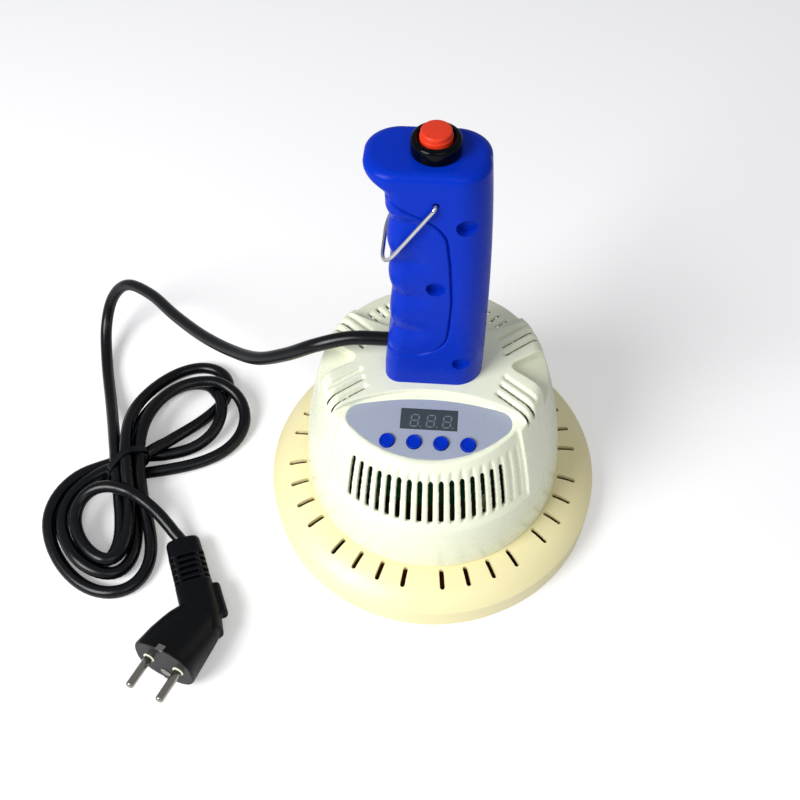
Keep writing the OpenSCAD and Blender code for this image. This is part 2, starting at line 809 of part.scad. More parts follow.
module control_panel() {
    color("#A5AAC3") panel_frame() translate([0, 0, -panel_t]) linear_extrude(panel_t) difference() {
        lens_outline(0);
        translate([0, window_v]) square([window_w, window_h], center = true);
        at_keys() circle(r = key_hole_r);
    }
}

module display_window() {
    color("#465058") panel_frame() translate([0, window_v, -panel_t]) linear_extrude(panel_t)
        square([window_w - 2 * sheet_fit, window_h - 2 * sheet_fit], center = true);
}

module display_module() {
    lens = [window_w - 2 * window_ledge - 0.6, window_h - 2 * window_ledge - 0.6];
    seat = facet_under - 0.2;
    color(black) panel_frame() translate([0, window_v, 0]) {
        translate([-lens[0] / 2, -lens[1] / 2, seat - 1])
            cube([lens[0], lens[1], 1 - seat - panel_t - 0.1]);
        translate([-window_w / 2, -window_h / 2, board_top]) cube([window_w, window_h, seat - board_top]);
    }
}

module control_board() {
    color(board_green) panel_frame() difference() {
        translate([-control_half, control_v[0], board_top - board_t])
            cube([2 * control_half, control_v[1] - control_v[0], board_t]);
        for (p = control_posts) translate([p[0], p[1], board_top - board_t - cut])
            cylinder(r = 1 + screw_fit, h = board_t + 2 * cut);
    }
    color(black) panel_frame() at_keys() {
        translate([-tact_w / 2, -tact_w / 2, board_top]) cube([tact_w, tact_w, tact_h - 0.8]);
        translate([0, 0, board_top]) cylinder(r = key_stem_r, h = tact_h);
    }
}

module key(k) {
    color(royal_blue) panel_frame() translate([(k - 1.5) * key_pitch, key_v, 0]) {
        translate([0, 0, key_flange_top - key_flange_t]) cylinder(r = key_flange_r, h = key_flange_t);
        translate([0, 0, key_flange_top - cut])
            cylinder(d = key_d, h = key_rise - 0.4 - key_flange_top + cut);
        translate([0, 0, key_rise - 0.4]) cylinder(d1 = key_d, d2 = key_d - 1.2, h = 0.4);
        translate([0, 0, key_foot]) cylinder(r = key_stem_r, h = key_stem_l + cut);
    }
}

module key_1() { key(0); }
module key_2() { key(1); }
module key_3() { key(2); }
module key_4() { key(3); }

// Grip

// Solid half of the grip, a little past the split: side is 1 for the front and -1 for the rear
module grip_half(side) {
    loft([for (s = grip_stations) let (outline = grip_section(s[0], s[1]), last = len(outline) - 1)
        [for (i = [0:last]) let (k = side > 0 ? i : last - i, p = outline[k])
            [p[0], side * (k == 0 || k == last ? split_over : p[1]), foot_z + s[0]]]]);
}

// Everything on the other side of the split
module beyond_split(side) {
    translate([-far, side > 0 ? 0 : -far, foot_z - far]) cube([2 * far, far, 3 * far]);
}

// Hollow of the grip, seen from the front: it steps round the three screw posts
module grip_cavity() {
    x0 = cavity_x0;
    x1 = cavity_x1;
    left = [for (w = wells) w[0] - boss_r];
    low = [for (w = wells) w[1] - boss_r];
    high = [for (w = wells) w[1] + boss_r];
    translate([0, 0, foot_z]) rotate([90, 0, 0]) translate([0, 0, -cavity_d]) linear_extrude(2 * cavity_d)
        polygon([[x0, floor_h], [left[2], floor_h], [left[2], high[2]], [x1, high[2]],
            [x1, low[1]], [left[1], low[1]], [left[1], high[1]], [x1, high[1]],
            [x1, low[0]], [left[0], low[0]], [left[0], high[0]], [x1, high[0]],
            [x1, roof_h], [x0, roof_h]]);
}

// Drills along Y, entering from the front
module along_y(p) {
    translate([p[0], 0, foot_z + p[1]]) rotate([90, 0, 0]) children();
}

module pad_outline(inset) {
    hull() for (d = groove_discs) translate([d[0], d[1]]) circle(r = d[2] - inset, $fn = 32);
}

// Shallow groove round the finger pads, cut square to the flat face of a shell
module grip_groove(side) {
    translate([0, -side * foot_depth, foot_z]) rotate([90 + side * face_lean, 0, 0])
        translate([0, 0, side > 0 ? -groove_depth : groove_depth - 10]) linear_extrude(10) difference() {
            pad_outline(0);
            pad_outline(groove_w);
        }
}

// Cuts that both shells share
module grip_cuts() {
    translate([0, 0, cavity_roof - cut]) cylinder(r = barrel_r + free_gap, h = grip_edge + 10);
    translate([-far, 0, cord_z]) rotate([0, 90, 0])
        cylinder(r = cord_d / 2 + free_gap, h = far + cavity_x0 + cut);
    translate([bail_x, far / 2, bail_z]) rotate([90, 0, 0]) cylinder(r = wire_d / 2 + bail_fit, h = far);
    for (x = [-1, 1]) for (y = [-1, 1])
        translate([x * foot_screw_at[0], y * foot_screw_at[1], foot_z - cut])
        cylinder(r = screw_r + screw_fit, h = foot_screw_l + 2 * cut);
    translate([0, 0, foot_z - cut]) cylinder(r = wire_r, h = cavity_floor - foot_z + 2 * cut);
}

module grip_front() {
    color(royal_blue) difference() {
        grip_half(1);
        beyond_split(1);
        grip_cavity();
        grip_cuts();
        for (p = wells) along_y(p) {
            translate([0, 0, well_floor]) cylinder(d = well_d, h = far);
            translate([0, 0, -cut]) cylinder(r = screw_r + screw_fit, h = far);
        }
        grip_groove(1);
    }
}

module grip_rear() {
    color(royal_blue) difference() {
        grip_half(-1);
        beyond_split(-1);
        grip_cavity();
        grip_cuts();
        for (p = wells) along_y(p) translate([0, 0, -8]) cylinder(r = screw_r + screw_fit, h = 8 + cut);
        grip_groove(-1);
    }
}

module grip_screws() {
    color(steel) for (p = wells) along_y(p) translate([0, 0, well_floor]) mirror([0, 0, 1])
        pan_screw(well_floor + 7);
}

module foot_screws() {
    color(steel) for (x = [-1, 1]) for (y = [-1, 1])
        translate([x * foot_screw_at[0], y * foot_screw_at[1], foot_z - dome_wall - seat])
            pan_screw(dome_wall + foot_screw_l - 1);
}

// Push switch

module switch_body() {
    color(black) difference() {
        union() {
            translate([0, 0, grip_top - barrel_l]) cylinder(r = barrel_r, h = barrel_l + cut);
            translate([0, 0, grip_top]) rotate_extrude()
                polygon([[0, 0], [bezel_d / 2, 0], [bezel_d / 2, bezel_h - bezel_slope],
                [bezel_d / 2 - 0.6, bezel_h - 0.6 * bezel_slope], [bezel_d / 2 - 1.8, bezel_h],
                    [0, bezel_h]]);
        }
        translate([0, 0, cap_under - cap_travel - free_gap]) cylinder(r = cap_cup_r, h = far);
        translate([0, 0, cap_under - cap_stem_l - cap_travel - 1])
            cylinder(r = cap_stem_r + free_gap, h = far);
    }
}

module switch_nut() {
    color(steel) translate([0, 0, cavity_roof - nut_t]) ring(barrel_r + screw_fit, nut_r, nut_t);
}

module switch_cap() {
    color("#E8401F") {
        translate([0, 0, cap_under]) rotate_extrude()
            polygon([[0, 0], [cap_r, 0], [cap_r, cap_top - cap_under - cap_edge],
            [cap_r - 0.3 * cap_edge, cap_top - cap_under - 0.3 * cap_edge],
                [cap_r - cap_edge, cap_top - cap_under],
            [0, cap_top - cap_under]]);
        translate([0, 0, cap_under - cap_stem_l]) cylinder(r = cap_stem_r, h = cap_stem_l + cut);
    }
}

module switch_lugs() {
    color("#C8A850") for (x = [-4, 4]) translate([x - 0.4, -2, grip_top - barrel_l - 8]) cube([0.8, 4, 8]);
}

// Bail

module bail_half_wire() {
    straight = bail_reach - bail_round;
    elbow = bail_half - bail_elbow;
    translate([0, bail_half, -straight]) cylinder(d = wire_d, h = straight - bail_elbow);
    translate([0, bail_half - bail_round, -straight]) rotate([0, 90, 0]) rotate_extrude(angle = 90)
        translate([bail_round, 0]) circle(d = wire_d);
    translate([0, elbow, -bail_elbow]) rotate([90, 0, 90]) rotate_extrude(angle = 90)
        translate([bail_elbow, 0]) circle(d = wire_d);
    translate([0, bail_pin_end, 0]) rotate([-90, 0, 0]) cylinder(d = wire_d, h = elbow - bail_pin_end);
    translate([0, 0, -bail_reach]) rotate([-90, 0, 0]) cylinder(d = wire_d, h = bail_half - bail_round);
}

module hanging_bail() {
    color(steel) translate([bail_x, 0, bail_z]) rotate([0, bail_rest, 0]) {
        bail_half_wire();
        mirror([0, 1, 0]) bail_half_wire();
    }
}

// Mains lead

module cord_anchor() {
    w = 2 * (cord_d / 2 + 3);
    color(black) translate([anchor_x, -w / 2, cavity_floor]) cube([8, w, w]);
}

module cord_lead() {
    color(black) tube(lead_route);
}

module cord_tail() {
    color(black) tube(tail_route);
}

module hank_lobe(centre, r) {
    difference() {
        hull() {
            translate(tie_at) circle(r = hank_neck, $fn = 32);
            translate(centre) circle(r = r, $fn = 32);
        }
        hull() {
            translate(between(0.35, tie_at, centre)) circle(r = 2, $fn = 32);
            translate(centre) circle(r = r - hank_band, $fn = 32);
        }
    }
}

module tie_frame() {
    translate([tie_at[0], tie_at[1], 0]) rotate(tie_deg) children();
}

module cord_hank() {
    color(black) difference() {
        linear_extrude(hank_h) {
            hank_lobe(hank_upper, hank_upper_r);
            hank_lobe(hank_lower, hank_lower_r);
        }
        tie_frame() difference() {
            translate([-20, -tie_w / 2 - free_gap, -cut])
                cube([40, tie_w + 2 * free_gap, hank_h + 2 * cut]);
            translate([-9, -tie_w, tie_t + free_gap])
                cube([18, 2 * tie_w, hank_h - 2 * tie_t - 2 * free_gap]);
        }
    }
}

module cord_tie() {
    color("#2A2B30") tie_frame() difference() {
        translate([-9 - free_gap - tie_t, -tie_w / 2, 0])
            cube([18 + 2 * (free_gap + tie_t), tie_w, hank_h]);
        translate([-9 - free_gap, -tie_w, tie_t]) cube([18 + 2 * free_gap, 2 * tie_w, hank_h - 2 * tie_t]);
    }
}

// Plug

module plug_frame() {
    translate(plug_at) rotate([0, 90 - plug_el, plug_az]) children();
}

module plug_neck_frame() {
    translate([0, neck_from[0], neck_from[1]]) rotate([180 - neck_deg, 0, 0]) children();
}

// Round front with flats, squared off behind on the side away from the neck
module plug_shell() {
    intersection() {
        union() {
            translate([0, 0, -plug_len]) cylinder(r = plug_r, h = plug_len);
            translate([-far / 2, 0, -plug_len]) cube([far, plug_r, plug_len - plug_round_l]);
        }
        rotate([-90, 0, 0]) translate([0, 0, -far / 2]) linear_extrude(far) polygon([
            [-plug_half_front, 0], [plug_half_front, 0], [plug_half_back, plug_len],
                [-plug_half_back, plug_len]]);
    }
}

module plug_body() {
    color(black) difference() {
        union() {
            plug_frame() plug_shell();
            plug_neck();
            plug_frame() plug_neck_frame() translate([-wing_half, -neck_r0 - wing_out, -wing_back])
                cube([2 * wing_half, wing_out + neck_r0 / 2, wing_l]);
        }
        plug_frame() for (y = [-1, 1])
            translate([0, y * pin_gap / 2, -pin_sunk]) cylinder(r = pin_r + pin_fit, h = pin_sunk + cut);
        plug_frame() for (turn = [0, 180]) rotate(turn)
            translate([plug_half_front - clip_t, -clip_w / 2 - pin_fit, -clip_l - cut])
                cube([plug_r, clip_w + 2 * pin_fit, clip_l + 2 * cut]);
        plug_frame() plug_neck_frame() for (turn = [0, 180]) rotate(turn) at_neck_grooves()
            translate([neck_half - window_deep, -window_half, 0])
                cube([plug_r, 2 * window_half, neck_groove]);
    }
}

module at_neck_grooves() {
    for (k = [0:neck_ribs - 1]) translate([0, 0, neck_l - neck_plain - k * neck_rib_pitch]) children();
}

// Flat-sided strain relief with notches in its round sides
module plug_neck() {
    plug_frame() plug_neck_frame() intersection() {
        difference() {
            translate([0, 0, -neck_root]) cylinder(r1 = neck_r0, r2 = neck_r1, h = neck_l + neck_root);
            at_neck_grooves() ring(neck_r1 - notch_deep, 2 * neck_r0, neck_groove);
        }
        translate([-neck_half, -far / 2, -far / 2]) cube([2 * neck_half, far, far]);
    }
}

module plug_pins() {
    color(steel) plug_frame() for (y = [-1, 1]) translate([0, y * pin_gap / 2, -pin_sunk]) {
        cylinder(r = pin_r, h = pin_l + pin_sunk - pin_r / 2);
        translate([0, 0, pin_l + pin_sunk - pin_r / 2]) cylinder(r1 = pin_r, r2 = pin_r / 2, h = pin_r / 2);
    }
}

module plug_clips() {
    color(steel) plug_frame() for (turn = [0, 180]) rotate(turn)
        translate([plug_half_front - clip_t, -clip_w / 2, -clip_l]) cube([clip_t, clip_w, clip_l]);
}

sealing_face();
head_cover();
face_screws();
mica_sheet();
induction_coil();
ferrite_bars();
dome_housing();
dome_screws();
insulating_disc();
power_board();
board_screws();
heat_sink();
power_transistors();
bus_capacitors();
filter_choke();
output_transformer();
fan_frame();
fan_rotor();
fan_screws();
control_panel();
display_window();
display_module();
control_board();
key_1();
key_2();
key_3();
key_4();
grip_front();
grip_rear();
grip_screws();
foot_screws();
switch_body();
switch_nut();
switch_cap();
switch_lugs();
hanging_bail();
cord_anchor();
cord_lead();
cord_hank();
cord_tail();
cord_tie();
plug_body();
plug_pins();
plug_clips();
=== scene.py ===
# %% [markdown]
# # A hand-held induction cap sealer
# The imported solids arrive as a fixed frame: every piece made here goes where they say, in metres.
# The front with the keys is -Y, the finger side of the grip is -X, and up is +Z.

# %% Load the frame
import json
from math import cos, pi, radians, sin

import bpy
import numpy as np
from mathutils import Matrix, Vector


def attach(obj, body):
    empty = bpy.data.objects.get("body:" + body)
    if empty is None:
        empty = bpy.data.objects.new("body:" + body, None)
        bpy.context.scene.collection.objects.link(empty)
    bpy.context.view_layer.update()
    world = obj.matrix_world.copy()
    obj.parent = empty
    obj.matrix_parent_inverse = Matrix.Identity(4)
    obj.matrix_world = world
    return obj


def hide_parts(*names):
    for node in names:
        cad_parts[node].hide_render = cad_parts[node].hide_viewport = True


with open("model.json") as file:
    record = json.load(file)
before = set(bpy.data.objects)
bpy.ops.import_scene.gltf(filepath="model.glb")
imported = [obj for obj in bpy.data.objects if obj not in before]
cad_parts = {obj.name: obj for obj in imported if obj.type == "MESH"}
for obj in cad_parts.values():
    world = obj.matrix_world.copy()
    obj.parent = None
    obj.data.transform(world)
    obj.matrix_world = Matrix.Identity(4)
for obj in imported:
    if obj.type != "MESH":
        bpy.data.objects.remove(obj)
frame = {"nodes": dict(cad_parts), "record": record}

MM = 0.001
scene = bpy.context.scene
nodes = frame["nodes"]
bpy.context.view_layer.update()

# %% [markdown]
# ## Three small helpers
# Colours are written as the sRGB hex values that a colour picker shows, and the shader wants linear
# light. One function converts them, one adds a node with its settings and its links, and one puts an
# object in the scene.

# %% Helpers
def srgb(code):
    values = [int(code[i:i + 2], 16) / 255 for i in (1, 3, 5)]
    linear = [v / 12.92 if v <= 0.04045 else ((v + 0.055) / 1.055) ** 2.4 for v in values]
    return (*linear, 1)


def add(tree, kind, sockets=None, **settings):
    node = tree.nodes.new(kind)
    for name, value in settings.items():
        setattr(node, name, value)
    for name, value in (sockets or {}).items():
        socket = node.inputs[name]
        if isinstance(value, bpy.types.NodeSocket):
            tree.links.new(value, socket)
        else:
            socket.default_value = value
    return node


def placed(name, data):
    made = bpy.data.objects.new(name, data)
    scene.collection.objects.link(made)
    return made


# %% [markdown]
# ## The camera
# The picture was taken from above and a little to the right of the front. The head's slot pattern
# and the plug's pins fix the camera: where it stands, how it is turned, and its focal length.

# %% Camera
camera_at = Vector((15.37, -297.86, 512.09)) * MM
camera_right = Vector((0.9963, 0.0834, -0.0213))
camera_up = Vector((-0.0562, 0.8176, 0.5731))
camera_data = bpy.data.cameras.new("camera")
camera_data.sensor_width = 36
camera_data.lens = 41.21
camera_data.clip_start = 0.01
camera = placed("camera", camera_data)
turn = Matrix((camera_right, camera_up, camera_right.cross(camera_up))).transposed()
camera.matrix_world = Matrix.Translation(camera_at) @ turn.to_4x4()
scene.camera = camera
scene.view_settings.view_transform = "Standard"
print("camera", [round(v, 3) for v in camera_at], "lens", camera_data.lens)

# %% [markdown]
# ## Floor, world and lamps
# The sealer stands on white paper. Light from the paper to the object stays at a plain level: the
# extra brightness of the background is added only for rays that reach the eye, so the paper turns
# white and still keeps the soft shadows. The shadows fall to the right and away from the viewer, and
# the upright front is as bright as the top, so the large lamp stands low, to the left and in front.

# %% Floor and world
paper_glow = 0.28
paper = bpy.data.materials.new("white_paper")
paper.use_nodes = True
tree = paper.node_tree
tree.nodes.clear()
lit = add(tree, "ShaderNodeBsdfDiffuse", {"Color": srgb("#E9E9EA")})
seen = add(tree, "ShaderNodeLightPath").outputs["Is Camera Ray"]
glow_level = add(tree, "ShaderNodeMath", {0: seen, 1: paper_glow}, operation="MULTIPLY")
glow = add(tree, "ShaderNodeEmission", {"Color": srgb("#FFFFFF"), "Strength": glow_level.outputs[0]})
both = add(tree, "ShaderNodeAddShader", {0: lit.outputs[0], 1: glow.outputs[0]})
add(tree, "ShaderNodeOutputMaterial", {"Surface": both.outputs[0]})

floor_reach, floor_z = 6.0, -0.0002
floor_mesh = bpy.data.meshes.new("floor")
floor_mesh.from_pydata([(x * floor_reach, y * floor_reach, floor_z)
                        for x, y in ((-1, -1), (1, -1), (1, 1), (-1, 1))], [], [(0, 1, 2, 3)])
floor_mesh.materials.append(paper)
floor = placed("floor", floor_mesh)

world = bpy.data.worlds.new("studio")
scene.world = world
world.use_nodes = True
tree = world.node_tree
tree.nodes.clear()
room_light, sky_seen = 0.34, 0.95
seen = add(tree, "ShaderNodeLightPath").outputs["Is Camera Ray"]
level = add(tree, "ShaderNodeMapRange", {"Value": seen, "To Min": room_light, "To Max": sky_seen})
air = add(tree, "ShaderNodeBackground", {"Color": srgb("#FBFCFF"), "Strength": level.outputs[0]})
add(tree, "ShaderNodeOutputWorld", {"Surface": air.outputs[0]})
print("floor and world ready")

# %% Lamps
lamp_aim = Vector((0, 0, 0.1))


def lamp(name, at, size, watts):
    data = bpy.data.lights.new(name, "AREA")
    data.shape = "DISK"
    data.size = size
    data.energy = watts
    made = placed(name, data)
    made.location = at
    made.rotation_mode = "QUATERNION"
    made.rotation_quaternion = (lamp_aim - Vector(at)).to_track_quat("-Z", "Y")


lamp("key_lamp", at=(-0.82, -0.75, 0.95), size=0.8, watts=20)
lamp("fill_lamp", at=(0.4, -1.0, 1.2), size=0.9, watts=3)

# %% [markdown]
# ## Finishes
# Most of the sealer is injection-moulded ABS: a hard plastic with an IOR near 1.53 and a satin to
# gloss skin. Seen close, the skin waves by some thousandths or hundredths of a millimetre, which
# breaks the edges of its reflections, and the colour clouds very slightly. The cord and the plug are
# flexible PVC. The head, the grip and the plug also have a fine grain. Metals keep the default IOR and
# get their look from roughness.

# %% Moulded plastics
def new_material(name):
    material = bpy.data.materials.new(name)
    material.use_nodes = True
    tree = material.node_tree
    tree.nodes.clear()
    return material, tree, add(tree, "ShaderNodeTexCoord").outputs["Object"]


plastic_ior, cloud_mm = 1.53, 30


def moulded(name, code, cloud_code, roughness, wave_mm, bump_mm, shine=0.5, grit_mm=0.0, grit_depth=0.0):
    material, tree, place = new_material(name)
    cloud = add(tree, "ShaderNodeTexNoise", {"Vector": place, "Scale": 1 / (cloud_mm * MM), "Detail": 3.0})
    colour = add(tree, "ShaderNodeMix", {0: cloud.outputs["Fac"], 6: srgb(code), 7: srgb(cloud_code)},
                 data_type="RGBA")
    wave = add(tree, "ShaderNodeTexNoise", {"Vector": place, "Scale": 1 / (wave_mm * MM), "Detail": 2.0})
    rough = add(tree, "ShaderNodeMapRange", {
        "Value": wave.outputs["Fac"], "From Min": 0.3, "From Max": 0.7,
        "To Min": roughness * 0.88, "To Max": roughness * 1.12})
    bump = add(tree, "ShaderNodeBump", {
        "Height": wave.outputs["Fac"], "Distance": bump_mm * MM, "Strength": 1.0})
    normal = bump.outputs["Normal"]
    if grit_mm:
        grit = add(tree, "ShaderNodeTexNoise", {"Vector": place, "Scale": 1 / (grit_mm * MM), "Detail": 1.0})
        grain = add(tree, "ShaderNodeBump", {
            "Height": grit.outputs["Fac"], "Distance": grit_depth * MM, "Strength": 1.0, "Normal": normal})
        normal = grain.outputs["Normal"]
    skin = add(tree, "ShaderNodeBsdfPrincipled", {
        "Base Color": colour.outputs[2], "Roughness": rough.outputs[0], "Normal": normal,
        "IOR": plastic_ior, "Specular IOR Level": shine})
    add(tree, "ShaderNodeOutputMaterial", {"Surface": skin.outputs[0]})
    return material


# Each has a colour, a clouded colour, roughness, the length and height of its waves in mm, and shine
finish = {
    "cream_abs": moulded("moulded_cream_abs", "#F6ECBA", "#F3E8B2", 0.34, 12, 0.02,
                         grit_mm=0.7, grit_depth=0.006),
    "ivory_abs": moulded("moulded_ivory_abs", "#EFF3DA", "#EEF2D8", 0.27, 14, 0.004, 0.4),
    "blue_abs": moulded("moulded_blue_abs", "#0430B8", "#042CAE", 0.28, 10, 0.02, 0.07,
                        grit_mm=0.6, grit_depth=0.006),
    "panel_film": moulded("printed_panel_film", "#A0A7B7", "#9AA2B3", 0.30, 6, 0.01, 0.3),
    "display_lens": moulded("tinted_display_lens", "#3B4441", "#414A46", 0.12, 12, 0.01, 0.4),
    "display_segments": moulded("unlit_display_segment", "#6A747C", "#707A82", 0.3, 12, 0.01, 0.3),
    "black_plastic": moulded("gloss_black_plastic", "#030408", "#04060A", 0.10, 8, 0.01, 0.1),
    "red_plastic": moulded("moulded_red_plastic", "#E23C20", "#DA371C", 0.30, 6, 0.02, 0.25),
    "cord_rubber": moulded("smooth_black_cord_pvc", "#04060A", "#06080C", 0.26, 6, 0.02, 0.28),
    "plug_rubber": moulded("moulded_black_plug_pvc", "#04060A", "#06080D", 0.34, 4, 0.02, 0.16,
                           grit_mm=0.5, grit_depth=0.01),
    "ferrite": moulded("sintered_ferrite", "#3A3C40", "#333539", 0.62, 3, 0.05),
    "mica": moulded("mica_sheet_stock", "#8A6A3C", "#7D5F36", 0.38, 5, 0.04),
    "copper_wire": moulded("varnished_copper_wire", "#B06A30", "#9A5826", 0.35, 3, 0.03),
    # The boards' green is darker than a board's own green: painted shade for the dim inside of the dome seen
    # through the slots
    "circuit_board": moulded("lacquered_circuit_board_painted_shade", "#0E3A1E", "#0B3019", 0.28, 4, 0.03),
    "capacitor_sleeve": moulded("capacitor_shrink_sleeve", "#2A2F6A", "#24295E", 0.25, 6, 0.03),
    "phenolic": moulded("phenolic_paper_sheet", "#5A3A22", "#50331D", 0.5, 5, 0.04),
}
print("plastics", len(finish))

# %% Metals
def metal(name, code, roughness, streak_mm, bump_mm, stretch=(1, 1, 1)):
    material, tree, place = new_material(name)
    drawn = add(tree, "ShaderNodeMapping", {"Vector": place, "Scale": stretch})
    streak = add(tree, "ShaderNodeTexNoise", {
        "Vector": drawn.outputs[0], "Scale": 1 / (streak_mm * MM), "Detail": 3.0})
    rough = add(tree, "ShaderNodeMapRange", {
        "Value": streak.outputs["Fac"], "To Min": roughness * 0.7, "To Max": roughness * 1.3})
    bump = add(tree, "ShaderNodeBump", {
        "Height": streak.outputs["Fac"], "Distance": bump_mm * MM, "Strength": 1.0})
    skin = add(tree, "ShaderNodeBsdfPrincipled", {
        "Base Color": srgb(code), "Metallic": 1.0, "Roughness": rough.outputs[0],
        "Normal": bump.outputs["Normal"]})
    add(tree, "ShaderNodeOutputMaterial", {"Surface": skin.outputs[0]})
    return material


finish.update({
    "steel": metal("zinc_plated_steel", "#B4B8BC", 0.32, 1.2, 0.01),
    "wire_steel": metal("bright_drawn_wire", "#C9CBCE", 0.20, 0.8, 0.005),
    "nickel": metal("nickel_plated_brass", "#A9A59C", 0.14, 1.0, 0.005),
    "brass": metal("bright_brass", "#C8A850", 0.25, 1.0, 0.01),
    "aluminium": metal("extruded_aluminium", "#9DA3A8", 0.35, 0.6, 0.02, (0.05, 1, 1)),
})
for sub in frame["record"]["subparts"]:
    node = nodes[sub["node"]]
    node.data.materials.clear()
    node.data.materials.append(finish[sub["material_slot"]])
print("finishes", len(finish), "on", len(nodes), "solids")

# %% [markdown]
# ## Tools for the pieces
# A piece made here stands in for one or more solids, rides on the same body, and takes its finish
# from the same slot. Sizes are in millimetres until the mesh is made. Two tools shape most pieces:
# a lathe for what is turned or moulded round, and a softener that takes a copy of a solid, rebuilds
# it as an even skin and smooths it, so that every edge gets the small radius a mould gives it.

# %% Tools
sharp_angle = radians(35)
weld = ("WELD", {"merge_threshold": 0.001 * MM})


def mesh_of(name, points, faces):
    data = bpy.data.meshes.new(name)
    data.from_pydata((np.asarray(points, float) * MM).tolist(), [], faces)
    data.shade_smooth()
    data.set_sharp_from_angle(angle=sharp_angle)
    return data


def piece(name, data, body, slot, *replaced, look=None):
    data.materials.clear()
    data.materials.append(finish[look or slot])
    made = placed(name, data)
    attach(made, body)
    if replaced:
        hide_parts(*replaced)
    print(name, len(data.loop_triangles) or len(data.polygons), "faces")
    return made


def evaluated(work):
    return bpy.data.meshes.new_from_object(work.evaluated_get(bpy.context.evaluated_depsgraph_get()))


def built(data, *steps):
    work = placed("work", data)
    for kind, settings in steps:
        step = work.modifiers.new(kind, kind)
        for name, value in settings.items():
            setattr(step, name, value)
    made = evaluated(work)
    bpy.data.objects.remove(work)
    return made


def softened(data, voxel_mm, rounds, most):
    even = built(data, weld, ("REMESH", {"mode": "VOXEL", "voxel_size": voxel_mm * MM}),
                 ("SMOOTH", {"factor": 0.5, "iterations": rounds}))
    count = sum(len(face.vertices) - 2 for face in even.polygons)
    made = built(even, ("DECIMATE", {"ratio": min(1, most / count)}))
    made.shade_smooth()
    return made


def lathe(name, profile, sides=96):
    angles = np.arange(sides) * 2 * pi / sides
    points = [(r * cos(a), r * sin(a), z) for r, z in profile for a in angles]
    faces = [(k * sides + i, k * sides + (i + 1) % sides,
              (k + 1) * sides + (i + 1) % sides, (k + 1) * sides + i)
             for k in range(len(profile) - 1) for i in range(sides)]
    return built(mesh_of(name, points, faces), weld)


def prism(name, low, high):
    count = len(low)
    walls = [(i, (i + 1) % count, count + (i + 1) % count, count + i) for i in range(count)]
    return mesh_of(name, low + high, walls + [list(range(count))[::-1], list(range(count, 2 * count))])


def minus(data, *cutters):
    tools = [placed("cutter", cutter) for cutter in cutters]
    made = built(data, *[("BOOLEAN", {"object": tool, "operation": "DIFFERENCE", "solver": "EXACT"})
                         for tool in tools])
    for tool in tools:
        bpy.data.objects.remove(tool)
    return made


def loft(rings):
    rings = np.asarray(rings, float)
    rows, count = rings.shape[:2]
    index = np.arange(rows * count).reshape(rows, count)
    quads = [(index[k, i], index[k, (i + 1) % count], index[k + 1, (i + 1) % count], index[k + 1, i])
             for k in range(rows - 1) for i in range(count)]
    return rings.reshape(-1, 3), quads + [index[0][::-1].tolist(), index[-1].tolist()]


def joined(name, *parts):
    points, faces = [], []
    for some, sides in parts:
        faces += [[v + len(points) for v in face] for face in sides]
        points += [tuple(p) for p in some]
    return mesh_of(name, points, faces)


def unpacked(data):
    return [v.co / MM for v in data.vertices], [list(face.vertices) for face in data.polygons]


def arc(centre, radius, start, end, steps=8):
    return [(centre[0] + radius * cos(radians(a)), centre[1] + radius * sin(radians(a)))
            for a in np.linspace(start, end, steps + 1)]


# %% [markdown]
# What repeats - the scoops above the vent slots, the ribs of the plug's neck, the bars of the display -
# comes from one Geometry Nodes tree. It puts a copy of a small piece on every marked place, turned and
# stretched as the mark says.

# %% Repeating a piece
repeat = bpy.data.node_groups.new("repeat", "GeometryNodeTree")
repeat.interface.new_socket("Geometry", in_out="OUTPUT", socket_type="NodeSocketGeometry")
ports = {name: repeat.interface.new_socket(name, in_out="INPUT", socket_type="NodeSocket" + kind)
         for name, kind in (("Marks", "Geometry"), ("Piece", "Object"), ("Finish", "Material"))}
inlet = add(repeat, "NodeGroupInput")
copy = add(repeat, "GeometryNodeObjectInfo", {"Object": inlet.outputs["Piece"]})
turned = add(repeat, "GeometryNodeInputNamedAttribute", {"Name": "turn"}, data_type="FLOAT_VECTOR")
stretch = add(repeat, "GeometryNodeInputNamedAttribute", {"Name": "stretch"}, data_type="FLOAT_VECTOR")
spread = add(repeat, "GeometryNodeInstanceOnPoints", {
    "Points": inlet.outputs["Marks"], "Instance": copy.outputs["Geometry"],
    "Rotation": turned.outputs[0], "Scale": stretch.outputs[0]})
real = add(repeat, "GeometryNodeRealizeInstances", {"Geometry": spread.outputs[0]})
painted = add(repeat, "GeometryNodeSetMaterial", {
    "Geometry": real.outputs[0], "Material": inlet.outputs["Finish"]})
add(repeat, "NodeGroupOutput", {"Geometry": painted.outputs[0]})


def repeated(data, places, turns, sizes, slot):
    marks = mesh_of("marks", places, [])
    for name, values in (("turn", turns), ("stretch", sizes)):
        spots = marks.attributes.new(name, "FLOAT_VECTOR", "POINT")
        spots.data.foreach_set("vector", np.asarray(values, float).ravel())
    one = placed("one", data)
    many = placed("many", marks)
    step = many.modifiers.new("repeat", "NODES")
    step.node_group = repeat
    step[ports["Piece"].identifier] = one
    step[ports["Finish"].identifier] = finish[slot]
    made = evaluated(many)
    bpy.data.objects.remove(many)
    bpy.data.objects.remove(one)
    return made


# %% [markdown]
# ## Dome
# The dome is one large moulding with many slots. The ribs between them have round edges in the photo,
# as a polished mould leaves them, and so have the arms, the sunk grilles and the lower ledge. The
# front slots run out upwards in shallow scoops, and the slots on the arms and at the back are grooves
# with a floor that leaves only a narrow gap. The two slots at each end of the front row are blind. A
# copy of the solid gets the scoops, the floors and a fine rebate that shows as the joint line at its
# foot. It is then rebuilt as an even skin and smoothed, which rounds every edge alike.

# %% Floors of the grooves
dome = built(nodes["dome_housing"].data.copy(), weld)
shape = placed("shape", dome)
bpy.context.view_layer.update()
above_dome = 200


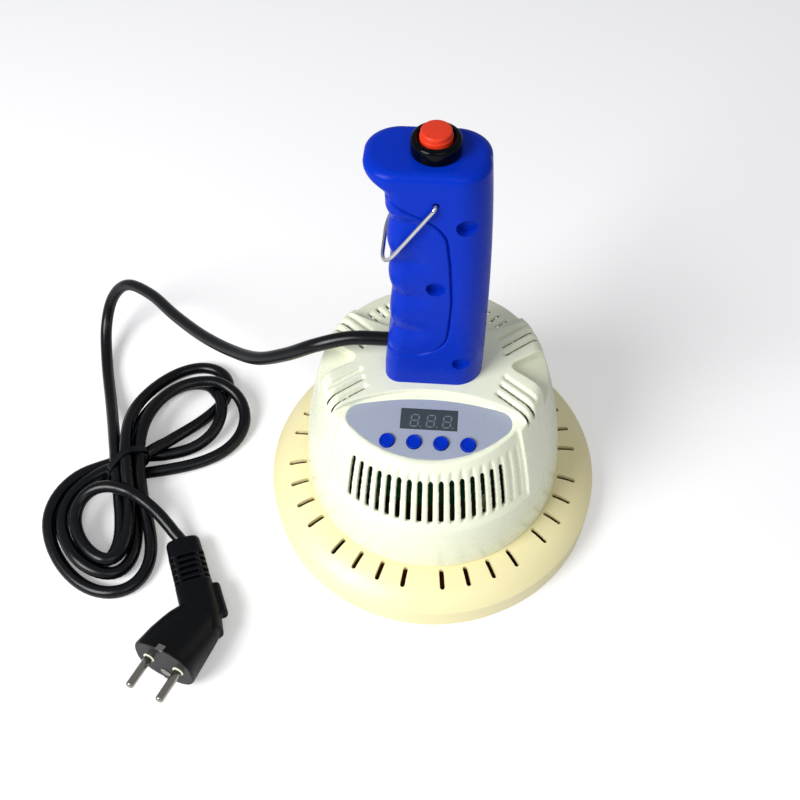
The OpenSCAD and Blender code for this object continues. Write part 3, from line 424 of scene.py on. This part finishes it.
def top_at(px, py):
    hit, place, *_ = shape.ray_cast(Vector((px, py, above_dome)) * MM, Vector((0, 0, -1)))
    return place.z / MM if hit else 0


# A floor lies below the rims beside its slot, bites into one wall and leaves a gap at the other
slot_w, gap_w, bite, rim_off = 2.6, 1.3, 0.4, 0.9
floor_drop, floor_t, floor_step, lead_in, cliff = 1.5, 1.3, 0.8, 0.6, 3


def groove_floor(along, aside, off, start, end, open_side):
    rings = []
    for t in np.arange(start - lead_in, end, floor_step):
        rims = [along * t + aside * (off + k * (slot_w / 2 + rim_off)) for k in (-1, 1)]
        z = max(top_at(*p) for p in rims) - floor_drop
        if rings and z < rings[-1][0][2] - cliff:
            break
        a, b = (along * t + aside * (off + k * open_side)
                for k in (-slot_w / 2 - bite, slot_w / 2 - gap_w))
        rings.append([(*a, z), (*b, z), (*b, z - floor_t), (*a, z - floor_t)])
    return loft(rings)


def compass(a):
    return np.array([cos(a), sin(a)]), np.array([-sin(a), cos(a)])


arm_turn, arm_reach = radians(38.2), 30
arm_grooves = [(-6.9, 37.8), (-12.4, 36), (-17.6, 34)]
floors = []
for flip_x in (-1, 1):
    for flip_y in (-1, 1):
        along, aside = (np.array([flip_x, flip_y]) * way for way in compass(arm_turn))
        skipped = 2 if flip_y < 0 else 0
        floors += [groove_floor(along, aside, off, start, start + arm_reach, -flip_y)
                   for k, (off, start) in enumerate(arm_grooves) if k != skipped]

rear_count, rear_pitch, rear_from, rear_to = 15, 6.75, 43.5, 53.4
for k in range(rear_count):
    from_middle = k - (rear_count - 1) / 2
    along, aside = compass(radians(90 + from_middle * rear_pitch))
    floors.append(groove_floor(along, aside, 0, rear_from, rear_to, 1 if from_middle > 0 else -1))
print("groove floors", len(floors))

# %% Floors of the blind slots
front_count, front_pitch = 20, 5
front_turns = [radians(-90 + (k - (front_count - 1) / 2) * front_pitch) for k in range(front_count)]
wall_foot, wall_r, wall_fall, wall_h, wall_power = 26.8, 76, 16.7, 95.2, 1.8
blind_from, blind_to, blind_step = 40, 78, 1.5
blind_section = ((4.2, -1.7), (2.9, -1.7), (2.9, 1.7), (4.2, 1.7))
for a in front_turns[:2] + front_turns[-2:]:
    along, aside = compass(a)
    rings = []
    for h in np.arange(blind_from, blind_to, blind_step):
        wall = wall_r - wall_fall * (h / wall_h) ** wall_power
        rings.append([(*(along * (wall - d) + aside * s), wall_foot + h) for d, s in blind_section])
    floors.append(loft(rings))
bpy.data.objects.remove(shape)
print("floors with the blind slots", len(floors))

# %% Dome
scoop_r, scoop_z, scoop_lean, scoop_size = 63.9, 101.5, radians(14.5), (1.9, 1.35, 9)
ball = lathe("ball", [(cos(a), sin(a)) for a in np.radians(np.linspace(-90, 90, 13))], 16)
scoops = repeated(ball, [(scoop_r * cos(a), scoop_r * sin(a), scoop_z) for a in front_turns],
                  [(0, -scoop_lean, a) for a in front_turns], [scoop_size] * front_count, "ivory_abs")
rebate_in, rebate_out, rebate_low, rebate_high = 75.1, 77, 26.5, 27.6
rebate = lathe("rebate", [(rebate_in, rebate_low), (rebate_out, rebate_low), (rebate_out, rebate_high),
                          (rebate_in, rebate_high), (rebate_in, rebate_low)], 180)
dome = joined("dome", unpacked(minus(dome, scoops, rebate)), *floors)
piece("dome_shell", softened(dome, voxel_mm=0.6, rounds=6, most=190000),
      "sealer", "ivory_abs", "dome_housing")

# %% [markdown]
# ## Grip
# The grip is two moulded halves that meet in a fine seam. Its section is a box with round corners that
# grows towards the top and rolls over into a flat. The finger side carries pads with creases between
# them, which run round the corner and fade out on the flat face, and a groove frames the pads. The
# skin is a grid of points: rows go up the grip, columns go round it from the palm to the fingers.

# %% Skin of the grip
foot_z, grip_h, grip_edge = 122.0, 141.8, 4.0
grip_top = foot_z + grip_h
body_h = grip_h - grip_edge
skin_rows = 345
roll = np.radians(np.linspace(10, 90, 9))
heights = np.concatenate([np.linspace(0, body_h, skin_rows), body_h + grip_edge * np.sin(roll)])
inset = np.concatenate([np.zeros(skin_rows), grip_edge * (1 - np.cos(roll))])[:, None]
up = heights[:, None]

# Heights of the creases, how blunt they are, and where they fade in and out: a height and a length
creases, crease_blunt = [18, 41.5, 66.8, 90.5, 114, 138], 0.002
fade_in, fade_in_over, fade_out, fade_out_over = 24, 8, 121, 4
pad = np.interp(up, creases, range(len(creases)))
crease = np.clip(1 - np.sqrt(np.sin(pi * pad) ** 2 + crease_blunt), 0, 1)
crease = crease * np.clip((up - fade_in) / fade_in_over, 0, 1)
crease = crease * np.clip((fade_out - up) / fade_out_over, 0, 1)

# Reach of the finger side at some heights, blurred into one smooth line
level_step, blur = 0.5, 1.1
levels = np.arange(-10, 153, level_step)
reach_at = np.interp(levels, [0, 10, 36, 56, 128, 130, 131.8, 133.2, 134.6, 136.4, 137.8],
                     [25, 24.6, 22, 20.8, 20.9, 22.2, 24.5, 26.5, 28.3, 29.8, 30.3])
bell = np.exp(-0.5 * (np.arange(-12, 13) * level_step / blur) ** 2)
reach_at = np.convolve(reach_at, bell / bell.sum(), "same")

crease_in, corner_r, least_flat = 1.3, 14, 0.5
palm_reach, palm_fall, palm_peak, palm_power = 26.4, 3.3, 0.3, 2.6
foot_depth, depth_gain = 15, 2
finger = crease_in * crease - np.interp(up, levels, reach_at) + inset
from_peak = np.abs(up - palm_peak * grip_h) / ((1 - palm_peak) * grip_h)
palm = palm_reach - palm_fall * from_peak ** palm_power - inset
depth = foot_depth + depth_gain * up / grip_h - inset
palm_round = np.minimum(corner_r, depth - least_flat)
finger_round = np.minimum(np.interp(up, [127, body_h], [8, corner_r]), depth - least_flat)

bend = np.radians(np.linspace(0, 90, 30))[None]
side = np.linspace(0, 1, 20)[None]
across = np.linspace(0, 1, 92)[None, 1:-1]
face_x = palm - palm_round + (finger + finger_round - palm + palm_round) * across
flat = np.ones_like(up)
x = np.hstack([palm * flat, palm - palm_round + palm_round * np.cos(bend), face_x,
               finger + finger_round - finger_round * np.sin(bend), finger + 0 * side])
y = np.hstack([0 * flat, palm_round - depth - palm_round * np.sin(bend), -depth + 0 * face_x,
               finger_round - depth - finger_round * np.cos(bend), (finger_round - depth) * (1 - side)])
normal_x = np.hstack([flat, np.cos(bend) * flat, 0 * face_x, -np.sin(bend) * flat, -flat + 0 * side])
normal_y = np.hstack([0 * flat, -np.sin(bend) * flat, -flat + 0 * face_x, -np.cos(bend) * flat,
                      0 * flat + 0 * side])
unrolled = np.hstack([palm * flat, palm + 0 * bend, face_x, finger + finger_round * (1 - bend),
                      finger + finger_round * (1 - pi / 2) + (finger_round - depth) * side])
print("grip grid", x.shape)

# %% [markdown]
# The groove follows the outline that wraps a few discs like a belt. For any direction, the belt's
# furthest reach is the largest reach of a disc, so the distance to the belt is the largest overshoot
# over all directions. Where that is near zero, the skin sinks in.

# %% Groove, creases and seam
groove_depth, groove_half, groove_in = 1.5, 0.5, 0.45
crease_depth, face_fade, seam_depth = 2.2, 15, 0.25
discs = np.array([(-26, 113.8, 15), (-10, 101.8, 17), (-9.5, 66, 19), (-10, 42, 18), (-26, 40, 15)])
beyond = np.full(x.shape, -99.0)
for a in np.linspace(0, 2 * pi, 120, endpoint=False):
    reach = (discs[:, 0] * cos(a) + discs[:, 1] * sin(a) + discs[:, 2]).max()
    beyond = np.maximum(beyond, unrolled * cos(a) + up * sin(a) - reach)
from_corner = np.clip(unrolled - finger - finger_round, 0, face_fade)
onto_face = 0.5 + 0.5 * np.cos(pi * from_corner / face_fade)
round_corner = np.clip((unrolled - finger - finger_round) / (1.57 * finger_round) + 1.25, 0.3, 1)
groove = groove_depth * np.exp(-((beyond + groove_in) / groove_half) ** 2)
sink = groove + crease_depth * crease * onto_face * round_corner
sink[:, [0, -1]] += seam_depth
x, y = x - sink * normal_x, y - sink * normal_y
y[:, [0, -1]] = 0
skin = np.stack([x, y, foot_z + up + 0 * x], 2)
print("grip skin", skin.shape)

# %% [markdown]
# Each half is the skin closed by flat caps. The hollow, the screw wells, and the holes for the switch,
# the cord, the bail and the screws are cut out of it, as cores and slides form them in the mould.

# %% Grip halves
def half(skin):
    rows, columns = skin.shape[:2]
    index = np.arange(rows * columns).reshape(rows, columns)
    quads = np.stack([index[:-1, :-1], index[1:, :-1], index[1:, 1:], index[:-1, 1:]], 2).reshape(-1, 4)
    seam = index[::-1, 0].tolist() + index[:, -1].tolist()
    return skin.reshape(-1, 3), quads.tolist() + [index[0].tolist(), index[-1][::-1].tolist(), seam]


def drill(radius, start, end, sides=48):
    along = Vector(end) - Vector(start)
    turned = Matrix.Translation(start) @ along.to_track_quat("Z", "Y").to_matrix().to_4x4()
    low, high = ([turned @ Vector((radius * cos(a), radius * sin(a), z))
                  for a in np.arange(sides) * 2 * pi / sides] for z in (0, along.length))
    return prism("drill", low, high)


def cut_half(name, skin, cutters):
    made = minus(mesh_of(name, *half(skin)), *cutters)
    made.shade_smooth()
    made.set_sharp_from_angle(angle=cut_angle)
    return made


cut_angle, outside = radians(40), 60
wells, well_r, well_floor = [(14.2, 114.1), (1.3, 74.7), (14.7, 18.3)], 4.5, -12.4
head_r, head_from, head_to = 3.1, -7.4, -4.9
switch_r, wire_r, cord_r, bail_r, screw_r = 8.3, 5, 4.1, 1.5, 1.6
cord_z, cord_in, bail_x, bail_z = 139, -14, 1, grip_top - 15
hollow_half = 9.5
hollow = [(-13, 12), (9, 12), (9, 24), (18, 24), (18, 69), (-4.4, 69), (-4.4, 80.4), (18, 80.4),
          (18, 108.4), (8.5, 108.4), (8.5, 119.8), (18, 119.8), (18, 136.8), (-13, 136.8)]

cuts = [prism("core", *([(px, py, foot_z + h) for px, h in hollow[::-1]]
                        for py in (-hollow_half, hollow_half))),
        drill(switch_r, (0, 0, foot_z + 130), (0, 0, grip_top + 5)),
        drill(wire_r, (0, 0, foot_z - 1), (0, 0, foot_z + 13)),
        drill(cord_r, (-outside, 0, cord_z), (cord_in, 0, cord_z)),
        drill(bail_r, (bail_x, -outside, bail_z), (bail_x, outside, bail_z))]
cuts += [drill(screw_r, (px, py, foot_z - 1), (px, py, foot_z + 11)) for px in (-15, 15) for py in (-5, 5)]
well_cuts = [drill(well_r, (px, well_floor, foot_z + h), (px, -outside, foot_z + h)) for px, h in wells]
screw_cuts = [drill(head_r, (px, head_from, foot_z + h), (px, head_to, foot_z + h)) for px, h in wells]
screw_cuts += [drill(screw_r, (px, 8, foot_z + h), (px, -5, foot_z + h)) for px, h in wells]

piece("grip_half_front", cut_half("grip_half_front", skin, cuts + well_cuts + screw_cuts),
      "sealer", "blue_abs", "grip_front")
rear = (skin * (1, -1, 1))[:, ::-1]
piece("grip_half_rear", cut_half("grip_half_rear", rear, cuts + screw_cuts),
      "sealer", "blue_abs", "grip_rear")

# %% [markdown]
# ## Push switch and keys
# The bezel is a turned-looking ring with a round shoulder and a cup, in which the red cap moves. The
# cap has a flat top with a small edge radius and a step round its side. Each key is a small blue
# button with a raised rim round a shallow dish.

# %% Switch
def on_grip_top(name, profile, body, slot, node):
    data = lathe(name, profile)
    data.transform(Matrix.Translation((0, 0, grip_top * MM)))
    piece(name, data, body, slot, node)


bezel = [(0, -24), (8, -24), (8, 0), (10.4, 0), (10.7, 0.4), (10.7, 4.9), *arc((8.9, 5.3), 1.8, 5, 90),
         *arc((8.6, 6.7), 0.5, 90, 150, 3), (7.4, 5.4), (7.2, 5.0), (7.2, 0.1), (4.3, 0.1),
         (4.3, -9.6), (0, -9.6)]
cap = [(0, -6.1), (4, -6.1), (4, 2.9), (6.9, 2.9), *arc((6.6, 7.7), 0.3, 0, 90, 3), (6.45, 8.05),
       *arc((5.75, 9.7), 0.7, 0, 90, 5), (0, 10.4)]
on_grip_top("switch_bezel", bezel, "sealer", "black_plastic", "switch_body")
on_grip_top("switch_button", cap, "push_cap", "red_plastic", "switch_cap")

# %% Keys
panel_at, panel_tilt = Vector((0, -40, 116)), radians(8.5)
panel = Matrix.Translation(panel_at * MM) @ Matrix.Rotation(panel_tilt, 4, "X")
key_pitch, key_y = 13.9, -7.5
button = [(0, -6), (1.7, -6), (1.7, -3.4), (5, -3.4), (5, -2.4), (3.8, -2.4), (3.8, 1.0),
          *arc((3.35, 1.05), 0.45, 0, 150, 8), (2.75, 1.1), (0, 1.02)]
for k in range(4):
    data = lathe(f"key_button_{k + 1}", button, 64)
    data.transform(panel @ Matrix.Translation(Vector(((k - 1.5) * key_pitch, key_y, 0)) * MM))
    piece(f"key_button_{k + 1}", data, f"key_{k + 1}", "blue_abs", f"key_{k + 1}")

# %% [markdown]
# ## Display
# Three seven-segment digits with their points show in the tinted lens, all unlit. The lens is opaque
# here, so the segments lie just above its face. Each is the same six-sided bar, as thin as print, put
# on its place by the repeating tree.

# %% Display segments
digit_h, digit_w, slant, digit_y, digit_at = 6.6, 3.9, 0.12, 4.9, (-7.4, 1.0, 9.4)
bar_w, bar_t, bar_z, bar_gap, point_off = 0.85, 0.02, 0.02, 0.25, 3.1
layout = [(0, k * digit_h / 2, 0) for k in (-1, 0, 1)]
layout += [(k * digit_w / 2, n * digit_h / 4, pi / 2) for k in (-1, 1) for n in (-1, 1)]
places, turns, sizes = [], [], []
for centre in digit_at:
    for px, py, a in layout:
        places.append((centre + px + slant * py, digit_y + py, bar_z))
        turns.append((0, 0, a - (slant if a else 0)))
        sizes.append(((digit_h / 2 if a else digit_w) - bar_gap, bar_w, bar_t))
    places.append((centre + point_off, digit_y - digit_h / 2, bar_z))
    turns.append((0, 0, 0))
    sizes.append((bar_w, bar_w, bar_t))
bar = lathe("bar", [(0, -0.5), (0.5, -0.5), (0.5, 0.5), (0, 0.5)], 6)
data = repeated(bar, places, turns, sizes, "display_segments")
data.transform(panel)
piece("display_segments", data, "sealer", "display_lens", look="display_segments")

# %% [markdown]
# ## The mains lead
# Nearly 1.9 m of round black cord leave the finger side of the grip, sweep out and down, and are
# wound in a figure of eight held by a tie, with the plug in front. The lead and the tail are routes of
# given points. The turns between them start as rough loops and are then relaxed as a real cord
# is: it resists bending, keeps its length, cannot pass through itself and drops to the floor.

# %% Route of the cord
cord_d = 7.7
lead = [(-15.5, 0, 139), (-25, 0, 139), (-44, 0, 138), (-63, -1, 131.5), (-81, 3, 117), (-100.5, 11, 101.5),
        (-121.5, 27, 86.5), (-146, 47.5, 73.5), (-170.5, 70.5, 63.5), (-193, 92.5, 57), (-215, 107.5, 48.5),
        (-230, 108.5, 33.5), (-236.5, 96.5, 16), (-232.5, 72, 5), (-221, 40.5, 6)]
hank_turns = [
    [(-209, 10, 11), (-200, -10, 15), (-194, -34, 11), (-187, -62, 4), (-191, -83, 4), (-212, -74, 4),
     (-231, -53, 4), (-235, -33, 4), (-213, -16, 4), (-180, -11, 4), (-140, 2, 4), (-124, 28, 4),
     (-136, 50, 7), (-163, 53, 10), (-184, 38, 10), (-190, 10, 13)],
    [(-187, -16, 16), (-181, -38, 10), (-166, -64, 4), (-169, -91, 4), (-193, -97, 4), (-219, -80, 4),
     (-235, -54, 8), (-231, -34, 11), (-211, -17, 9), (-187, -3, 5), (-152, 7, 4), (-140, 34, 4),
     (-154, 59, 4), (-178, 58, 5), (-194, 30, 8)],
    [(-192, -10, 18), (-185, -38, 13), (-177, -66, 7), (-180, -88, 4), (-203, -80, 8), (-225, -57, 11),
     (-226, -32, 11), (-207, -16, 12), (-181, 0, 9), (-154, 33, 4), (-139, 55, 4), (-153, 74, 4),
     (-180, 70, 4), (-200, 35, 5)],
    [(-195, 0, 16), (-190, -26, 19), (-183, -58, 11), (-183, -83, 9), (-206, -72, 12), (-220, -50, 13),
     (-208, -31, 17), (-184, -36, 21), (-165, -46, 18), (-155, -57, 11)],
]
tail = [(-151, -58.5, 7.6), (-147.5, -63.5, 7)]


def through(points, per):
    p = np.array(points, float)
    padded = np.vstack([2 * p[0] - p[1], p, 2 * p[-1] - p[-2]])
    t = (np.arange(per) / per)[:, None]
    spans = [0.5 * (2 * b + (c - a) * t + (2 * a - 5 * b + 4 * c - d) * t ** 2
                    + (3 * b - a - 3 * c + d) * t ** 3)
             for a, b, c, d in zip(padded, padded[1:], padded[2:], padded[3:])]
    return np.vstack(spans + [p[-1:]])


def evenly(p, step):
    along = np.concatenate([[0], np.cumsum(np.linalg.norm(np.diff(p, axis=0), axis=1))])
    stops = np.linspace(0, along[-1], int(round(along[-1] / step)) + 1)
    return np.stack([np.interp(stops, along, p[:, k]) for k in range(3)], 1)


def relaxed(p, free, step, rounds):
    bending, pulling, holding, falling, parting = 0.6, 0.25, 0.03, 0.03, 0.3
    near, clear, most_move, floor_gap = 1.8 * cord_d, cord_d + 0.25, 0.8, 0.05
    aim = p.copy()
    free = free[:, None]
    for k in range(rounds):
        if k % 8 == 0:
            apart = np.linalg.norm(p[:, None] - p[None], axis=2)
            i, j = np.nonzero(np.triu(apart < near, int(4 * cord_d / step)))
        for w in (1, 2, 4):
            bend = np.zeros_like(p)
            bend[2 * w:-2 * w] = (4 * (p[w:-3 * w] + p[3 * w:-w]) - p[:-4 * w] - p[4 * w:]
                                  - 6 * p[2 * w:-2 * w]) / 16
            p += np.where(free, bending * bend, 0)
        span = np.diff(p, axis=0)
        pull = pulling * span * (1 - step / np.linalg.norm(span, axis=1)[:, None])
        p[:-1] += np.where(free[:-1], pull, 0)
        p[1:] -= np.where(free[1:], pull, 0)
        p += np.where(free, holding * (aim - p) * (1, 1, 0), 0)
        p[:, 2] -= np.where(free[:, 0], falling, 0)
        for _ in range(3):
            gap = p[i] - p[j]
            size = np.linalg.norm(gap, axis=1)[:, None]
            push = parting * gap / size * np.maximum(clear - size, 0)
            move = np.zeros_like(p)
            np.add.at(move, i, push)
            np.add.at(move, j, -push)
            p += np.where(free, np.clip(move, -most_move, most_move), 0)
        p[:, 2] = np.maximum(p[:, 2], cord_d / 2 + floor_gap)
    return p


step, per_span, held_end, relax_rounds = cord_d / 2, 16, 3, 600
marks = lead + [p for turns in hank_turns for p in turns] + tail
route = evenly(through(marks, per_span), step)
free = np.ones(len(route), bool)
free[:np.linalg.norm(route - np.array(lead[-1]), axis=1).argmin()] = False
free[-held_end:] = False
route = relaxed(route, free, step, relax_rounds)

# %% [markdown]
# ## Plug and tie
# The plug is one soft moulding over the pins and the earth clips, so its edges get a small radius.
# The pins are turned nickel-plated brass with round ends, set in pale collars, and a socket for an
# earth pin shows between them. The tie is a flat strap: it runs round the strands that pass under it.

# %% Plug
plug_at, plug_turn, plug_tip = Vector((-139.5, -140, 17.1)), radians(-109.6), radians(90 - 8.4)
plug = (Matrix.Translation(plug_at * MM) @ Matrix.Rotation(plug_turn, 4, "Z")
        @ Matrix.Rotation(plug_tip, 4, "Y"))
ring = np.arange(64) * 2 * pi / 64


def rounded(half_x, half_y, power=3.2):
    return np.stack([half_x * np.sign(np.cos(ring)) * np.abs(np.cos(ring)) ** (2 / power),
                     half_y * np.sign(np.sin(ring)) * np.abs(np.sin(ring)) ** (2 / power), 0 * ring], 1)


# Stations of the body and the neck: a place along them, two half sizes and a shift to the side
front = [(0, 17, 18.2, 0), (-1.2, 16.8, 18.8, 0), (-13, 13.6, 18.2, 0.5), (-22, 11.2, 17.2, 1.4),
         (-27, 9.8, 16.4, 2), (-32, 8.4, 14.6, 2.4), (-36, 7.2, 11.5, 2)]
neck_root = [(-12, 7.5, 9.5, 0), (0, 7.2, 11, 0), (23, 6.8, 10.8, 0), (24, 6.5, 10.5, 0)]
neck_core = [(22, 3.8, 7.4, 0), (44, 3.8, 7.4, 0)]
neck_end = [(42.5, 6.4, 10, 0), (43.5, 6.7, 10.4, 0), (53, 6.6, 10.2, 0), (55, 5.8, 9.4, 0)]
neck_pad = [(-2, 3.2, 2.5, -11.4), (-1, 4.4, 3.4, -11.4), (18, 4.4, 3.4, -11.2), (19.5, 3.2, 2.5, -11.2)]
neck_rails = [[(22, 6.7, 1.1, off), (44, 6.6, 1.1, off)] for off in (-6.1, 6.1)]
neck_at, neck_bend = (0, 4, -33), radians(135)
rib_count, rib_first, rib_pitch, rib_size = 5, 26.3, 4.2, (6.7, 10.6, 2.1)
neck = Matrix.Translation(neck_at) @ Matrix.Rotation(neck_bend, 4, "X")


def on_neck(points):
    return [tuple(neck @ Vector(p)) for p in points]


def bar_on_neck(stations):
    points, faces = loft([rounded(hx, hy) + (0, off, s) for s, hx, hy, off in stations])
    return on_neck(points), faces


body = loft([rounded(hx, hy, power=2.6) + (0, shift, z) for z, hx, hy, shift in front[::-1]])
neck_parts = [bar_on_neck(bar) for bar in (neck_root, neck_core, neck_end, neck_pad, *neck_rails)]
disc = joined("disc", loft([rounded(1, 1) + (0, 0, z) for z in (-0.5, 0.5)]))
places = on_neck([(0, 0, rib_first + rib_pitch * k) for k in range(rib_count)])
ribs = repeated(disc, places, [(neck_bend, 0, 0)] * rib_count, [rib_size] * rib_count, "plug_rubber")
data = joined("plug", body, *neck_parts, unpacked(ribs))
data.transform(plug)
plug_mould = piece("plug_moulding", softened(data, voxel_mm=0.4, rounds=5, most=110000),
                   "sealer", "plug_rubber", "plug_body")

# %% Pins, collars, earth socket and clips
pin_spots, socket_spots = [(0, -9.5), (0, 9.5)], [(9.5, 0)]
pin = [(0, -5.95), (2.4, -5.95), (2.4, 17.6), *arc((1.0, 17.6), 1.4, 0, 90, 6), (0, 19)]
collar = [(2.45, -0.5), (3.4, -0.5), (3.4, 0.25), (3.1, 0.5), (2.45, 0.5), (2.45, -0.5)]
socket = [(2.4, -0.4), (3.2, -0.4), (3.2, 0.3), (2.5, 0.3), (2.2, 0.1), (0, 0.1), (0, -0.4), (2.4, -0.4)]
clip_section = ((-0.5, -2.2), (0.5, -2.2), (0.5, 2.2), (-0.5, 2.2))
clip_stations = ((-3.5, 15.8), (0.3, 16.8))
clip = np.array([[(hx + px, hy, z) for hx, hy in clip_section] for z, px in clip_stations])


def on_plug(name, parts):
    moved = [([Vector(p) + Vector(off) for p in points], faces) for (points, faces), off in parts]
    whole = joined(name, *moved)
    whole.transform(plug)
    return whole


def turned_parts(name, profile, spots):
    return on_plug(name, [(unpacked(lathe(name, profile, 48)), (px, py, 0)) for px, py in spots])


pins = piece("mains_pins", turned_parts("mains_pins", pin, pin_spots), "sealer", "nickel", "plug_pins")
collars = piece("pin_collars", turned_parts("pin_collars", collar, pin_spots), "sealer", "ivory_abs")
earth = piece("earth_socket", turned_parts("earth_socket", socket, socket_spots), "sealer", "nickel")
clip_pair = [(loft(clip * (k, k, 1)), (0, 0, 0)) for k in (-1, 1)]
clips = piece("earth_clips", on_plug("earth_clips", clip_pair), "sealer", "nickel", "plug_clips")

# %% Tie
tie_at, tie_turn, tie_steps = np.array([-197, -15]), radians(38), 72
tie_half, tie_t, slack, floor_gap = 2.2, 0.9, 0.1, 0.05
reach_across, reach_along = 15, 4
local = (route[:, :2] - tie_at) @ np.array([[cos(tie_turn), -sin(tie_turn)], [sin(tie_turn), cos(tie_turn)]])
inside = (np.abs(local[:, 1]) < reach_along) & (np.abs(local[:, 0]) < reach_across)
held = np.stack([local[inside, 0], route[inside, 2]], 1)
angles = np.linspace(0, 2 * pi, tie_steps, endpoint=False)
ways = np.stack([np.cos(angles), np.sin(angles)], 1)
far = (held @ ways.T).max(0) + cord_d / 2 + slack
slope = np.gradient(np.concatenate([far[-1:], far, far[:1]]), angles[1])[1:-1]
belt = far[:, None] * ways + slope[:, None] * np.stack([-ways[:, 1], ways[:, 0]], 1)
loops = []
for width, grow in ((-tie_half, 0), (tie_half, 0), (tie_half, tie_t), (-tie_half, tie_t)):
    flat = belt + grow * ways
    flat[:, 1] = np.maximum(flat[:, 1], floor_gap)
    wide = np.full(len(flat), width)
    spots = tie_at + np.stack([flat[:, 0] * cos(tie_turn) - wide * sin(tie_turn),
                               flat[:, 0] * sin(tie_turn) + wide * cos(tie_turn)], 1)
    loops.append(np.hstack([spots, flat[:, 1:]]))
faces = [(a * tie_steps + i, a * tie_steps + (i + 1) % tie_steps,
          b * tie_steps + (i + 1) % tie_steps, b * tie_steps + i)
         for a, b in ((0, 1), (1, 2), (2, 3), (3, 0)) for i in range(tie_steps)]
piece("hank_tie", mesh_of("hank_tie", np.vstack(loops), faces), "sealer", "cord_rubber", "cord_tie")

# %% Cord
cord_curve = bpy.data.curves.new("mains_cord", "CURVE")
cord_curve.dimensions = "3D"
cord_curve.bevel_depth = cord_d / 2 * MM
cord_curve.bevel_resolution = 6
cord_curve.use_fill_caps = True
spline = cord_curve.splines.new("POLY")
spline.points.add(len(route) - 1)
spline.points.foreach_set("co", np.hstack([route * MM, np.ones((len(route), 1))]).ravel())
spline.use_smooth = True
cord_curve.materials.append(finish["cord_rubber"])
cord = placed("mains_cord", cord_curve)
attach(cord, "sealer")
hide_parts("cord_lead", "cord_hank", "cord_tail")
print("cord made")
